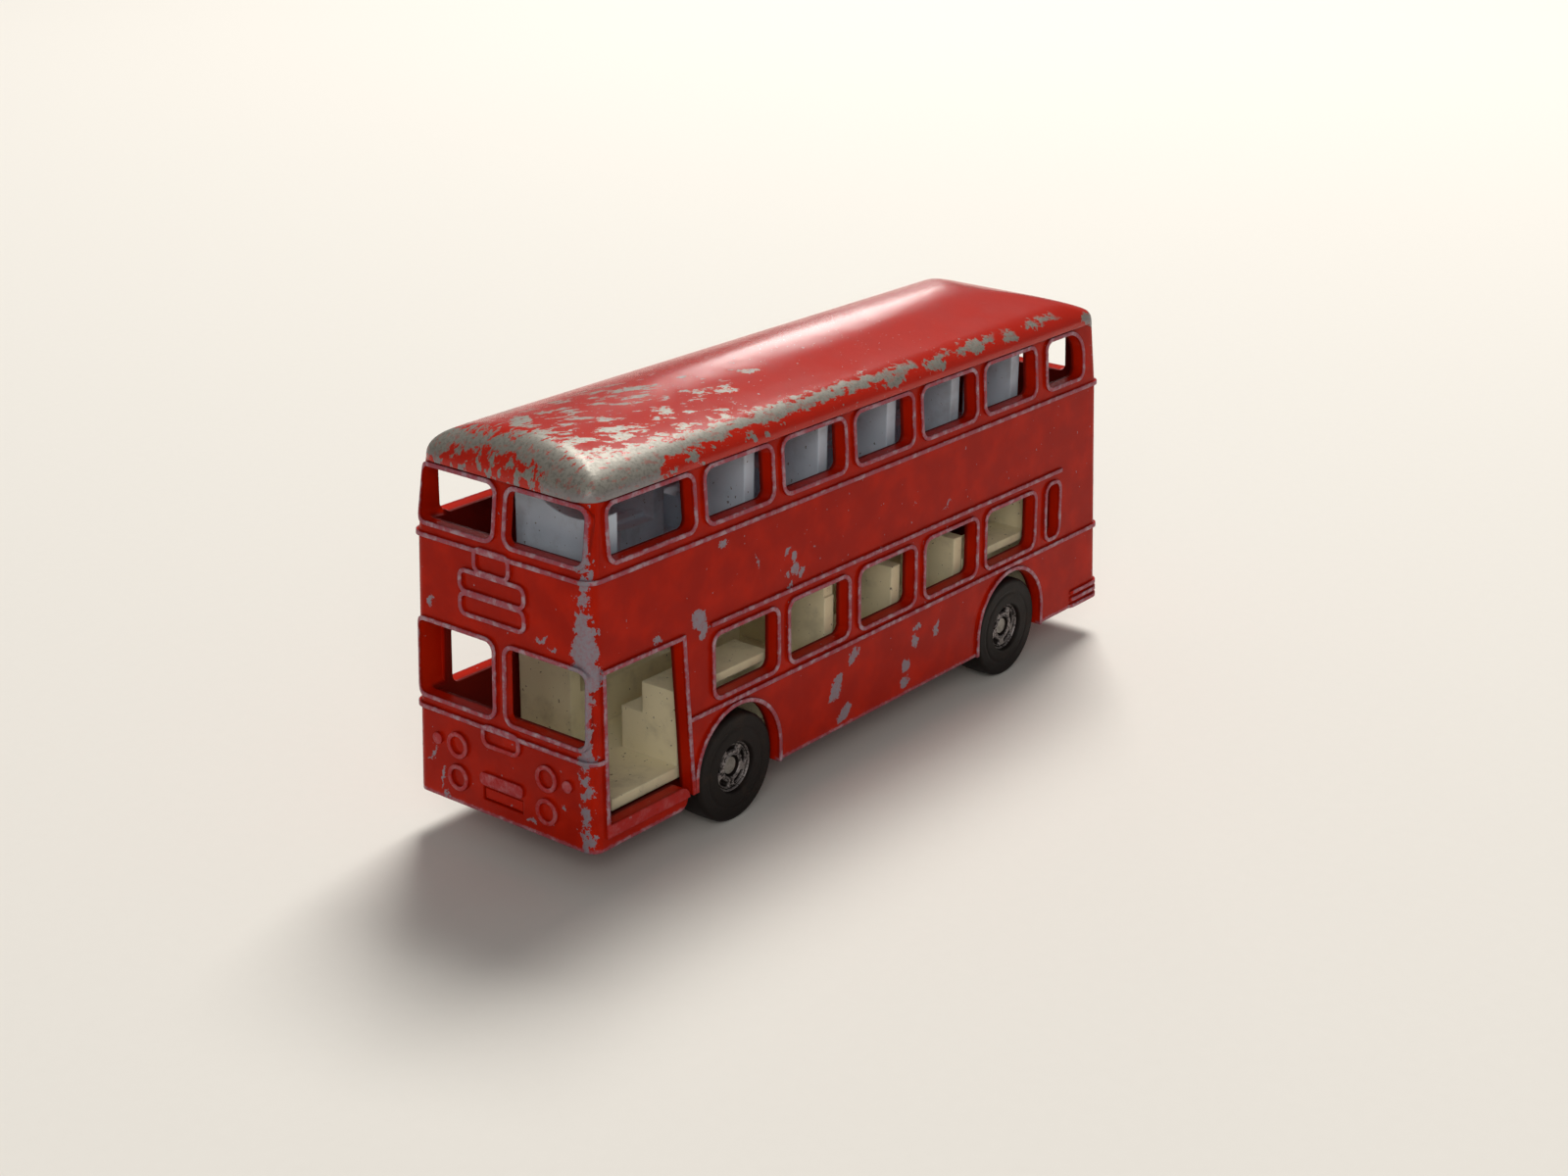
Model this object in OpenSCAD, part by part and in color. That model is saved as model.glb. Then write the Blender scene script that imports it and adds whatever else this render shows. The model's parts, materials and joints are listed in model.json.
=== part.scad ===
// Die-cast double-deck toy bus: a tapered shell on a flat base, two moulded decks inside,
// and four wheels that turn on two headed wire axles.
// +X is forward, +Y is the door side, +Z is up. Z = 0 is the ground under the wheels.

/* [Body shell] */
// Overall length, over the lamp rings at the front and the bumper ribs at the rear
body_len = 76; // [74:0.5:79]
// Width across the side panels at the skirt
body_w = 20.1; // [19.5:0.1:21.5]
// Thickness of the casting
wall = 1.2; // [1:0.05:1.35]
// Thickness of the front wall round its windows
front_wall = 0.55; // [0.5:0.05:0.8]
// Height of the skirt's lower edge
skirt_z = 3.6; // [3.3:0.1:3.9]
// Height of the lower belt bead
low_belt_z = 11.4; // [11.2:0.1:11.8]
// Height of the bead over the lower windows
mid_belt_z = 18.85; // [18.4:0.05:19.4]
// Height of the upper belt bead
up_belt_z = 26.4; // [26:0.1:27]
// Height of the gutter, where the roof starts
gutter_z = 32.5; // [32:0.1:33.5]
// Rise of the roof over the gutter
roof_rise = 3.6; // [3.2:0.1:4.2]
// Radius of the roof's long edges
roof_edge_r = 2.3; // [1.8:0.1:2.7]
// How far the roof stands out past the window band
roof_lip = 0.25; // [0.15:0.05:0.4]
// How far each side leans in from the skirt to the upper belt
side_lean = 0.42; // [0.2:0.02:0.6]
// How far the front leans back from the skirt to the upper belt
front_lean = 0.42; // [0.2:0.02:0.8]
// How far the rear leans forward from the skirt to the upper belt
rear_lean = 1.45; // [0.8:0.05:2]
// How far the upper window band leans in again, on the sides and the rear
band_lean = 0.45; // [0.2:0.05:0.7]
// How far the upper window band leans back at the front
brow_lean = 0.7; // [0.3:0.05:1]
// Radius of the upright corners
corner_r = 1.1; // [0.8:0.05:1.5]
// Radius of the roof's front corners, seen from above
roof_corner_r = 2.4; // [1.6:0.1:2.6]
// Radius of the long arc along which the roof falls to the rear
tail_r = 28; // [24:0.5:32]
// How far the roof's rear edge lies below the gutter
tail_drop = 0.75; // [0.5:0.05:1]

/* [Beads] */
// Width of the raised beads
bead_w = 0.36; // [0.3:0.02:0.42]
// Height of the raised beads
bead_h = 0.25; // [0.15:0.05:0.35]

/* [Windows and door] */
// Distance from one side window to the next
window_pitch = 9.95; // [9.8:0.05:10.1]
// Width of an upper side window
up_window_w = 8.3; // [8:0.05:8.6]
// Width of a lower side window
low_window_w = 8.2; // [7.9:0.05:8.5]
// Width of the narrow window at the rear of the lower deck
small_window_w = 2.2; // [1.9:0.1:2.6]
// Corner radius of the window openings
window_r = 0.8; // [0.5:0.1:1]
// Distance from the front end to the middle of the second upper window
up_row_setback = 18.75; // [18.4:0.05:19.1]
// Distance from the front end to the middle of the first lower window
low_row_setback = 19.2; // [18.9:0.05:19.5]
// Height from the lower belt to the lower sills
low_sill = 0.92; // [0.8:0.02:1.2]
// Height from the lower window heads to the bead over them
low_head = 1.12; // [0.9:0.02:1.4]
// Height from the upper belt to the upper sills
up_sill = 1.18; // [1.1:0.02:1.5]
// Height from the upper window heads to the gutter
up_head = 0.46; // [0.44:0.01:0.7]
// Radius of the upper rear corner of the rearmost upper side window
tail_window_r = 2.4; // [2:0.1:2.8]
// Distance from the front end to the foremost upper side window
up_front_post = 3; // [2.8:0.1:3.6]
// Distance from the front end to the driver's window
low_front_post = 3.4; // [3:0.1:4]
// Distance from the rear end to the rearmost upper side window
up_rear_post = 4.9; // [4.5:0.1:5.4]
// Width of the pillar between the front windows
front_pillar_w = 1.5; // [1.4:0.1:2]
// Width of the post at each end of the front windows
front_corner_w = 0.5; // [0.45:0.05:0.9]
// Width of the rear windows
rear_window_w = 13; // [11:0.5:14]
// Distance from the front end to the doorway
door_post = 1.95; // [1.8:0.05:2.4]
// How far the doorway's rear edge slants
door_slant = 0.9; // [0.5:0.1:1.2]
// Height of the sill under the doorway
sill_h = 2.15; // [1.9:0.05:2.4]
// Gap between the end of the sill and the post beside the wheel arch
sill_gap = 0.4; // [0.3:0.05:0.6]
// Width of that post at its tip
post_w = 0.75; // [0.65:0.05:0.95]

/* [Front trim] */
// Distance of the twin headlamps from the middle
lamp_y = 5; // [4.6:0.1:5.4]
// Diameter of a headlamp ring
lamp_d = 2.3; // [2:0.1:2.6]
// Offset of the blank panels from the middle, towards the left
panel_y = -0.7; // [-0.8:0.05:0.8]
// Width of the two wide blank panels over the windscreen
panel_w = 6.7; // [6.2:0.1:7.2]
// Height of the wide blank panels
panel_h = 1.4; // [1.2:0.05:1.5]
// Width of the small blank panel over them
plate_w = 3.4; // [3:0.1:3.8]

/* [Wheels and axles] */
// Diameter of the wheels
wheel_d = 9.7; // [9.4:0.1:10]
// Width of the wheels
wheel_w = 3.3; // [3:0.1:3.6]
// How far the wheel faces lie inside the skirt's width
wheel_inset = 0.25; // [0.1:0.05:0.5]
// Diameter of the dished hub
hub_d = 4.6; // [4.2:0.1:5]
// Depth of the dished hub
hub_depth = 0.5; // [0.4:0.05:0.6]
// Diameter of the axle wire
axle_d = 1; // [0.9:0.05:1.1]
// Diameter of the axle heads
head_d = 1.5; // [1.4:0.05:1.6]
// Thickness of the axle heads
head_t = 0.4; // [0.3:0.05:0.5]
// Distance from the front end to the front axle
front_overhang = 18.1; // [17.8:0.1:18.4]
// Distance from the rear end to the rear axle
rear_overhang = 16.6; // [16.2:0.1:17]
// Gap between a wheel and its arch
arch_gap = 0.5; // [0.4:0.05:0.7]
// Clearance round an axle, in its bearings and in its wheels
run_gap = 0.05; // [0.03:0.01:0.08]

/* [Base plate] */
// Thickness of the base plate
base_t = 1; // [0.8:0.1:1.1]
// Height of the base plate's underside over the skirt's edge
base_rise = 0.5; // [0.4:0.05:0.6]
// Gap between the base plate and the shell
base_gap = 0.15; // [0.1:0.05:0.25]
// Width of the tab that shows in the slot at the front
tab_w = 4.2; // [3.6:0.1:4.8]
// Thickness of the tab
tab_t = 0.9; // [0.7:0.05:1]
// Length of an axle bearing
bearing_w = 2.6; // [2.2:0.1:2.8]
// Wall round the axle in a bearing
bearing_wall = 0.8; // [0.6:0.05:0.85]
// Diameter of the post that rivets the shell to the base plate
rivet_d = 2.6; // [2.2:0.1:2.8]
// Diameter of the spread rivet head
rivet_head_d = 4; // [3.6:0.1:4.2]
// Thickness of the rivet's spread head
rivet_head_t = 0.3; // [0.2:0.05:0.35]

/* [Decks] */
// Height of the lower deck's underside
low_deck_z = 5.7; // [5.65:0.05:5.9]
// Thickness of both decks
deck_t = 1; // [0.8:0.1:1.1]
// Gap between the decks and the shell
deck_gap = 0.3; // [0.2:0.05:0.4]
// Height of the upper deck's underside over the bead over the lower windows
up_deck_rise = 0.55; // [0.4:0.05:0.8]
// Width of the aisle on both decks
aisle_w = 4.6; // [4.3:0.1:4.8]
// Wall of the boxes over the wheels
box_wall = 0.8; // [0.7:0.05:0.9]
// Gap between a wheel and its box
box_gap = 0.35; // [0.3:0.05:0.5]
// Height of the wheel boxes over the lower belt
box_rise = 1.9; // [1.6:0.1:2.2]
// Width of the step beside a wheel box
step_w = 2.3; // [2.1:0.1:2.5]
// How far that step lies below the top of the box
step_drop = 2.8; // [2.5:0.1:3]
// Thickness of seat backs and partitions
back_t = 1.3; // [1.1:0.1:1.5]
// Length of a seat cushion
cushion_len = 4.2; // [3.8:0.1:4.6]
// Height of the seat cushions over their deck
cushion_h = 4; // [3.5:0.1:4.5]
// Height of the lower seat backs over the cushions
low_back_h = 5; // [4.5:0.1:5.2]
// Height of the upper seat backs over the cushions
back_h = 7.2; // [6.4:0.1:7.4]
// Width of the stair screen at the front of the upper deck
screen_w = 9.4; // [8.8:0.1:9.8]
// Distance from the front end to the stair screen
screen_setback = 4.4; // [4:0.1:5]

/* [Hidden] */
$fn = 48;
paint_red = [0.62, 0.09, 0.05];
cream = [0.84, 0.80, 0.66];
tyre_black = [0.10, 0.09, 0.09];
steel = [0.72, 0.72, 0.74];

// Cutting tools run this far past the surfaces they cut
over = 1;
front_end = body_len / 2;
rear_end = -body_len / 2;
roof_z = gutter_z + roof_rise;

// Lamps
lamp_rise = 2.4;
lamp_gap = 0.6;
lamp_low_z = skirt_z + lamp_rise;
lamp_up_z = lamp_low_z + lamp_d + lamp_gap;
marker_y = lamp_y + lamp_d;
marker_d = 1;

// The shell's panels at a height: the lower lamp rings and the rear bumper ribs reach the ends
lean_h = up_belt_z - skirt_z;
band_h = gutter_z - up_belt_z;
skirt_front = front_end - bead_h + front_lean * (lamp_low_z - lamp_d / 2 - skirt_z) / lean_h;
skirt_rear = rear_end + bead_h;
function front_x(z) = skirt_front - front_lean * (z - skirt_z) / lean_h;
function rear_x(z) = skirt_rear + rear_lean * (z - skirt_z) / lean_h;
function half_w(z) = body_w / 2 - side_lean * (z - skirt_z) / lean_h;
function inner_half(z) = half_w(z) - wall;
band_front = front_x(up_belt_z) - brow_lean;
band_rear = rear_x(up_belt_z) + band_lean;
band_half = half_w(up_belt_z) - band_lean;

// Tools that round off the roof lie this far outside its crown and edges, and cut in at an angle
roof_skim = 0.1;

// The roof's fall to the rear: flat steps along an arc that runs into the round rear edge
tail_steps = 3;
tail_edge_z = gutter_z - tail_drop;
tail_panel_x = rear_x(up_belt_z) + band_lean * (tail_edge_z - up_belt_z) / band_h;
tail_edge_x = tail_panel_x + roof_edge_r - roof_skim;
tail_rise = roof_rise + tail_drop + roof_skim;
tail_x = tail_edge_x + sqrt((tail_rise - roof_edge_r) * (2 * tail_r - roof_edge_r - tail_rise));
tail_z = tail_edge_z + tail_rise - tail_r;

// Axles and wheels
axle_z = wheel_d / 2;
front_axle_x = front_end - front_overhang;
rear_axle_x = rear_end + rear_overhang;
wheel_face = body_w / 2 - wheel_inset;
wheel_back = wheel_face - wheel_w;
hub_face = wheel_face - hub_depth;
head_play = 0.1;
head_seat_d = head_d + 4 * head_play;
head_seat = hub_face - head_t - 3 * head_play;
tyre_edge_r = 0.5;
slot_count = 5;
slot_d = 0.85;
slot_rim = 0.29;
slot_ring_d = hub_d - slot_d - 2 * slot_rim;
slot_depth = 0.45;

// Wheel arches
arch_r = wheel_d / 2 + arch_gap;
arch_z = axle_z + arch_gap;
function arch_front(x) = x + arch_r;

// Side windows
up_row_x = front_end - up_row_setback;
low_row_x = front_end - low_row_setback;
low_lo = low_belt_z + low_sill;
low_hi = mid_belt_z - low_head;
up_lo = up_belt_z + up_sill;
up_hi = gutter_z - up_head;
rear_pillar = 2.2;

// Each row has as many windows after its first as leave room for the rearmost upper one
tail_window_min = tail_window_r + window_r;
row_room = body_len - up_row_setback - up_window_w / 2 - rear_pillar - tail_window_min - up_rear_post;
row_last = floor(row_room / window_pitch);
up_front_lo = up_row_x + window_pitch - up_window_w / 2;
up_front_hi = front_end - up_front_post;
up_rear_lo = rear_end + up_rear_post;
up_rear_hi = up_row_x - row_last * window_pitch - up_window_w / 2 - rear_pillar;
small_hi = low_row_x - row_last * window_pitch - low_window_w / 2 - rear_pillar;
driver_pillar = 4.3;
driver_lo = low_row_x + low_window_w / 2 + driver_pillar;
driver_hi = front_end - low_front_post;

// Rear windows
rear_sill = 0.7;
rear_low_lo = low_belt_z + rear_sill;
rear_up_lo = up_belt_z + rear_sill;
rear_up_hi = tail_edge_z - up_head;

// Doorway in the left side
door_front = front_end - door_post;
door_top = mid_belt_z - bead_w / 2;
sill_z = skirt_z + sill_h;
sill_r = sill_h / 2;
post_tip_z = skirt_z + sill_r;
door_rear_low = arch_front(front_axle_x) + post_w;
door_rear_top = door_rear_low + door_slant;
sill_end = door_rear_low + sill_gap;

// Front windows and trim
screen_sill = 1.2;
screen_head = 0.15;
front_lo = low_belt_z + screen_sill;
front_hi = mid_belt_z + screen_head;
front_window_w = half_w(front_hi) - front_corner_w - front_pillar_w / 2;
brow_window_w = band_half - front_corner_w - front_pillar_w / 2 + band_lean / 2;
panel_gap = 0.55;
panel_rise = 1.95;
panel_lo = front_hi + panel_rise;
panel_up = panel_lo + panel_h + panel_gap;
plate_lo = panel_up + panel_h + panel_gap;
plate_h = up_belt_z - plate_lo;
rib_setback = 5;
handle_w = 3.6;
handle_h = 1.3;
badge_w = 4.8;
badge_h = 1.1;
badge_gap = 0.25;
trim_r = 0.45;

// Base plate, tab and rivet
base_z = skirt_z + base_rise;
base_top = base_z + base_t;
base_front = front_x(base_top) - wall - base_gap;
base_rear = rear_x(base_top) + wall + base_gap;
base_half = inner_half(base_top) - base_gap;
waist_half = wheel_back - box_gap;
tab_sink = 0.1;
tab_z = base_top - tab_sink;
slot_z = tab_z - base_gap;
slot_h = tab_t + 2 * base_gap;
badge_z = slot_z + slot_h + badge_gap;
bearing_out = wheel_back - box_gap;
bearing_top = axle_z + axle_d / 2 + bearing_wall;
bearing_foot = 0.5;
bearing_len = axle_d + 2 * bearing_wall + 2 * bearing_foot;
rivet_x = base_rear + rivet_head_d / 2 + base_gap;
rivet_seat_z = base_z + base_t / 2;
rivet_drop = 1;
rivet_top = low_belt_z - rivet_drop;
pad_w = 1.5;

// Decks
low_floor_z = low_deck_z + deck_t;
low_half = inner_half(low_floor_z) - deck_gap;
box_top = low_belt_z + box_rise;
box_half = inner_half(box_top) - deck_gap;
box_len = wheel_d / 2 + box_gap;
step_top = box_top - step_drop;
aisle_half = aisle_w / 2;
low_deck_setback = 2.4;
low_deck_front = base_front - low_deck_setback;
low_deck_rear = rivet_x + rivet_d / 2 + deck_gap;
up_deck_z = mid_belt_z + up_deck_rise;
up_floor_z = up_deck_z + deck_t;
up_half = inner_half(up_floor_z) - deck_gap;
up_seat_half = band_half - wall - deck_gap;
up_deck_front = front_x(up_floor_z) - wall - deck_gap;
up_deck_rear = rear_x(up_floor_z) + wall + deck_gap;
seat_step = 1.2;
screen_x = front_end - screen_setback;
screen_t = 1.6;
screen_dip_r = 7;

// Extrudes an outline given in (y, z) along X
module along_x(from, to) {
    translate([from, 0, 0])
        rotate([90, 0, 90])
            linear_extrude(to - from)
                children();
}

// Extrudes an outline given in (x, z) along Y
module along_y(from, to) {
    translate([0, to, 0])
        rotate([90, 0, 0])
            linear_extrude(to - from)
                children();
}

// Rectangle between two corners
module rect(lo, hi) {
    translate(lo)
        square(hi - lo);
}

// Rectangle between two corners, with round corners
module round_rect(lo, hi, r) {
    rect([lo[0] + r, lo[1]], [hi[0] - r, hi[1]]);
    rect([lo[0], lo[1] + r], [hi[0], hi[1] - r]);
    for (x = [lo[0] + r, hi[0] - r], z = [lo[1] + r, hi[1] - r])
        translate([x, z])
            circle(r);
}

// Flat ring of bead width round a rectangle
module bead_ring(lo, hi, r) {
    difference() {
        round_rect(lo - [bead_w, bead_w], hi + [bead_w, bead_w], r + bead_w);
        round_rect(lo, hi, r);
    }
}

// Tool that rounds the upright edge of a tapered block: the edge runs from (x0, y0) to (x1, y1)
module edge_tool(x0, x1, y0, y1, rise, r) {
    translate([x0, y0, 0])
        rotate([atan2(y0 - y1, rise), -atan2(x0 - x1, rise), 0])
            translate([-r, -r, -over])
                difference() {
                    cube([r + over, r + over, rise + 2 * over]);
                    translate([0, 0, -over])
                        cylinder(r = r, h = rise + 4 * over);
                }
}

// Tapered block from one level to another: lo and hi are [z, rear x, front x, half width]
module tapered_block(lo, hi, r) {
    rise = hi[0] - lo[0];
    difference() {
        intersection() {
            along_x(lo[1] - over, lo[2] + over)
                polygon([[-lo[3], lo[0]], [lo[3], lo[0]], [hi[3], hi[0]], [-hi[3], hi[0]]]);
            along_y(-lo[3] - over, lo[3] + over)
                polygon([[lo[1], lo[0]], [lo[2], lo[0]], [hi[2], hi[0]], [hi[1], hi[0]]]);
        }
        if (r > 0)
            translate([0, 0, lo[0]])
                for (side = [0, 1]) mirror([0, side, 0]) {
                    edge_tool(lo[2], hi[2], lo[3], hi[3], rise, r);
                    mirror([1, 0, 0])
                        edge_tool(-lo[1], -hi[1], lo[3], hi[3], rise, r);
                }
    }
}

// What the roof's fall to the rear takes off in (x, z), for a body grown by grow
module tail_outline(grow) {
    slope = atan2(tail_x - tail_edge_x, tail_edge_z - tail_z);
    fall = [
        for (i = [0:tail_steps])
            [tail_x, tail_z] + (tail_r + grow) * [-sin(slope * i / tail_steps), cos(slope * i / tail_steps)]
    ];
    join = fall[tail_steps][0];
    top = roof_z + over;
    polygon(concat(fall, [[join, top], [tail_x, top]]));
    difference() {
        rect([rear_end - 2 * over, tail_edge_z], [join, top]);
        translate([tail_edge_x, tail_edge_z])
            circle(roof_edge_r + grow);
    }
}

// The panels below the upper belt and the window band over it, grown outwards by grow
module panels(grow, from_z, r) {
    tapered_block(
        [from_z, rear_x(from_z) - grow, front_x(from_z) + grow, half_w(from_z) + grow],
        [up_belt_z, rear_x(up_belt_z) - grow, front_x(up_belt_z) + grow, half_w(up_belt_z) + grow],
        r);
    difference() {
        tapered_block(
            [up_belt_z, rear_x(up_belt_z) - grow, front_x(up_belt_z) + grow, half_w(up_belt_z) + grow],
            [gutter_z, band_rear - grow, band_front + grow, band_half + grow],
            r);
        along_y(-body_w, body_w)
            tail_outline(grow);
    }
}

// Section of the roof in (y, z): a broad crown that runs into two round edges
module roof_section(grow) {
    edge_r = roof_edge_r + grow;
    edge_y = band_half + roof_lip - roof_edge_r;
    crown_r = (edge_y * edge_y + roof_rise * roof_rise - roof_edge_r * roof_edge_r)
        / (2 * (roof_rise - roof_edge_r));
    crown_z = gutter_z + roof_rise - crown_r;
    reach = (crown_r + grow + over) / (gutter_z - crown_z);
    intersection() {
        rect([-body_w, gutter_z], [body_w, roof_z + over]);
        union() {
            intersection() {
                translate([0, crown_z])
                    circle(crown_r + grow);
                polygon([
                    [0, crown_z],
                    [edge_y * reach, crown_z + crown_r + grow + over],
                    [-edge_y * reach, crown_z + crown_r + grow + over]
                ]);
            }
            for (side = [-1, 1])
                translate([side * edge_y, gutter_z])
                    circle(edge_r);
        }
    }
}

// Side view of the roof in (x, z), a skim over its crown: round at the front, falling at the rear
module roof_profile(grow) {
    r = roof_rise + roof_skim + grow;
    front = band_front + roof_lip + grow - r;
    difference() {
        rect([rear_end - over, gutter_z - over], [front, gutter_z + r]);
        tail_outline(grow);
    }
    rect([front, gutter_z - over], [front + r, gutter_z]);
    translate([front, gutter_z])
        circle(r);
}

// The roof, grown outwards by grow, with upright front corners of radius r
module roof(grow, r) {
    front = band_front + roof_lip + grow;
    rear = band_rear - roof_lip - grow;
    side = band_half + roof_lip + grow;
    difference() {
        intersection() {
            along_x(rear, front + over)
                roof_section(grow);
            along_y(-side - over, side + over)
                roof_profile(grow);
        }
        if (r > 0)
            translate([0, 0, gutter_z])
                for (half = [0, 1]) mirror([0, half, 0])
                    edge_tool(front + roof_skim, front + roof_skim,
                        side + roof_skim, side + roof_skim, roof_rise, r);
    }
}

// Outlines of the side windows in (x, z): children draw each one between $lo and $hi
module upper_windows() {
    for (i = [0:row_last]) {
        $lo = [up_row_x - i * window_pitch - up_window_w / 2, up_lo];
        $hi = [up_row_x - i * window_pitch + up_window_w / 2, up_hi];
        children();
    }
    let ($lo = [up_front_lo, up_lo], $hi = [up_front_hi, up_hi]) children();
}

// The rearmost upper window, grown by grow: its upper rear corner follows the fall of the roof
module tail_pane(grow) {
    lo = [up_rear_lo - grow, up_lo - grow];
    hi = [up_rear_hi + grow, up_hi + grow];
    r = window_r + grow;
    big = tail_window_r + grow;
    round_rect(lo, [hi[0], hi[1] - big + r], r);
    round_rect([lo[0] + big - r, lo[1]], hi, r);
    intersection() {
        rect([lo[0], hi[1] - big], hi);
        translate([lo[0] + big, hi[1] - big])
            circle(big);
    }
}

module lower_windows() {
    for (i = [0:row_last]) {
        $lo = [low_row_x - i * window_pitch - low_window_w / 2, low_lo];
        $hi = [low_row_x - i * window_pitch + low_window_w / 2, low_hi];
        children();
    }
    let ($lo = [small_hi - small_window_w, low_lo], $hi = [small_hi, low_hi]) children();
}

module driver_window() {
    let ($lo = [driver_lo, low_lo], $hi = [driver_hi, low_hi]) children();
}

// Outlines of a pair of front windows in (y, z)
module front_windows(lo, hi, w) {
    for (side = [0, 1]) mirror([side, 0])
        let ($lo = [front_pillar_w / 2, lo], $hi = [front_pillar_w / 2 + w, hi]) children();
}

// Outline of a rear window in (y, z)
module rear_window(lo, hi) {
    let ($lo = [-rear_window_w / 2, lo], $hi = [rear_window_w / 2, hi]) children();
}

// Outline of the doorway in (x, z), grown by grow at its front, top and rear edges
module doorway(grow) {
    polygon([
        [door_front + grow, skirt_z - over],
        [door_front + grow, door_top + grow],
        [door_rear_top - grow, door_top + grow],
        [door_rear_low - grow, post_tip_z],
        [front_axle_x, post_tip_z],
        [front_axle_x, skirt_z - over]
    ]);
}

// Outline of the sill in (x, z), with its round free end towards the wheel
module sill() {
    rect([sill_end + sill_r, skirt_z], [front_end, sill_z]);
    translate([sill_end + sill_r, skirt_z + sill_r])
        circle(sill_r);
}

// Outline of a wheel arch in (x, z): a round head on straight legs
module arch(x, grow) {
    translate([x, arch_z])
        circle(arch_r + grow);
    rect([x - arch_r - grow, skirt_z - over], [x + arch_r + grow, arch_z]);
}

// Places a (x, z) outline on the left side, standing from depth below the panel to out over it
module on_side(depth, out) {
    translate([0, half_w(skirt_z), skirt_z])
        rotate([atan2(side_lean, lean_h), 0, 0])
            translate([0, 0, -skirt_z])
                along_y(-depth, out)
                    children();
}

// The same on the left side of the upper window band
module on_band_side(depth, out) {
    translate([0, half_w(up_belt_z), up_belt_z])
        rotate([atan2(band_lean, band_h), 0, 0])
            translate([0, 0, -up_belt_z])
                along_y(-depth, out)
                    children();
}

// The same for a (y, z) outline on the front
module on_front(depth, out) {
    translate([skirt_front, 0, skirt_z])
        rotate([0, -atan2(front_lean, lean_h), 0])
            translate([0, 0, -skirt_z])
                along_x(-depth, out)
                    children();
}

// The same on the front of the upper window band
module on_brow(depth, out) {
    translate([front_x(up_belt_z), 0, up_belt_z])
        rotate([0, -atan2(brow_lean, band_h), 0])
            translate([0, 0, -up_belt_z])
                along_x(-depth, out)
                    children();
}

// The same on the rear, below the upper belt and over it
module on_rear(depth, out) {
    translate([skirt_rear, 0, skirt_z])
        rotate([0, atan2(rear_lean, lean_h), 0])
            translate([0, 0, -skirt_z])
                along_x(-out, depth)
                    children();
}

module on_band_rear(depth, out) {
    translate([rear_x(up_belt_z), 0, up_belt_z])
        rotate([0, atan2(band_lean, band_h), 0])
            translate([0, 0, -up_belt_z])
                along_x(-out, depth)
                    children();
}

// A window's outline, grown by grow
module pane(grow) {
    round_rect($lo - [grow, grow], $hi + [grow, grow], window_r + grow);
}

// Every window, grown by grow, from depth below the panels to out over them
module windows(grow, depth, out) {
    for (side = [0, 1]) mirror([0, side, 0]) {
        on_side(depth, out)
            lower_windows() pane(grow);
        on_band_side(depth, out) {
            upper_windows() pane(grow);
            tail_pane(grow);
        }
    }
    mirror([0, 1, 0])
        on_side(depth, out)
            driver_window() pane(grow);
    on_front(depth, out)
        front_windows(front_lo, front_hi, front_window_w) pane(grow);
    on_brow(depth, out)
        front_windows(up_lo, up_hi, brow_window_w) pane(grow);
    on_rear(depth, out)
        rear_window(rear_low_lo, low_hi) pane(grow);
    on_band_rear(depth, out)
        rear_window(rear_up_lo, rear_up_hi) pane(grow);
}

// Recesses inside the front, where its wall is thinner round the windows
module front_recesses() {
    on_front(2 * wall, -front_wall)
        rect([-inner_half(front_hi), front_lo], [inner_half(front_hi), front_hi]);
    on_brow(2 * wall, -front_wall)
        rect([wall - band_half, up_lo], [band_half - wall, up_hi]);
}

// Beads of the wheel arches, and the bead over the lower windows
module side_beads() {
    for (x = [front_axle_x, rear_axle_x])
        intersection() {
            arch(x, bead_w);
            rect([x - body_w, skirt_z], [x + body_w, low_belt_z]);
        }
    rect([small_hi - small_window_w - bead_w, mid_belt_z - bead_w / 2],
        [low_row_x + low_window_w / 2 + bead_w, mid_belt_z + bead_w / 2]);
}

// Bead round the doorway in (x, z)
module door_bead() {
    intersection() {
        doorway(bead_w);
        rect([door_rear_low - bead_w, post_tip_z], [front_end, door_top + bead_w]);
    }
}

// Raised outlines on the front in (y, z)
module front_beads() {
    translate([panel_y, 0]) {
        for (z = [panel_lo, panel_up])
            bead_ring([-panel_w / 2, z], [panel_w / 2, z + panel_h], trim_r);
        bead_ring([-plate_w / 2, plate_lo], [plate_w / 2, plate_lo + plate_h], trim_r);
    }
    bead_ring([-handle_w / 2, low_belt_z - handle_h], [handle_w / 2, low_belt_z], trim_r);
    for (y = [-lamp_y, lamp_y], z = [lamp_low_z, lamp_up_z])
        translate([y, z])
            difference() {
                circle(d = lamp_d);
                circle(d = lamp_d - 2 * bead_w);
            }
    for (y = [-marker_y, marker_y])
        translate([y, lamp_up_z])
            circle(d = marker_d);
    round_rect([-badge_w / 2, badge_z], [badge_w / 2, badge_z + badge_h], trim_r);
}

// Level bead round the shell between two heights, from its rear to front
module belt(lo, hi, front_lo, front_hi) {
    tapered_block(
        [lo, rear_x(lo) - bead_h, front_lo, half_w(lo) + bead_h],
        [hi, rear_x(hi) - bead_h, front_hi, half_w(hi) + bead_h],
        corner_r + bead_h);
}

// Everything that stands bead_h out of the panels
module raised_trim() {
    windows(bead_w, wall / 2, bead_h);
    for (side = [0, 1]) mirror([0, side, 0])
        on_side(wall / 2, bead_h)
            side_beads();
    on_side(wall / 2, bead_h)
        door_bead();
    on_front(wall / 2, bead_h)
        front_beads();
    for (z = [low_belt_z, up_belt_z])
        let (lo = z - bead_w / 2, hi = z + bead_w / 2)
            belt(lo, hi, front_x(lo) + bead_h, front_x(hi) + bead_h);
    for (i = [0:2])
        let (lo = skirt_z + 2 * bead_w * i, front = rear_axle_x - arch_r - rib_setback)
            belt(lo, lo + bead_w, front, front);
}

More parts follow.
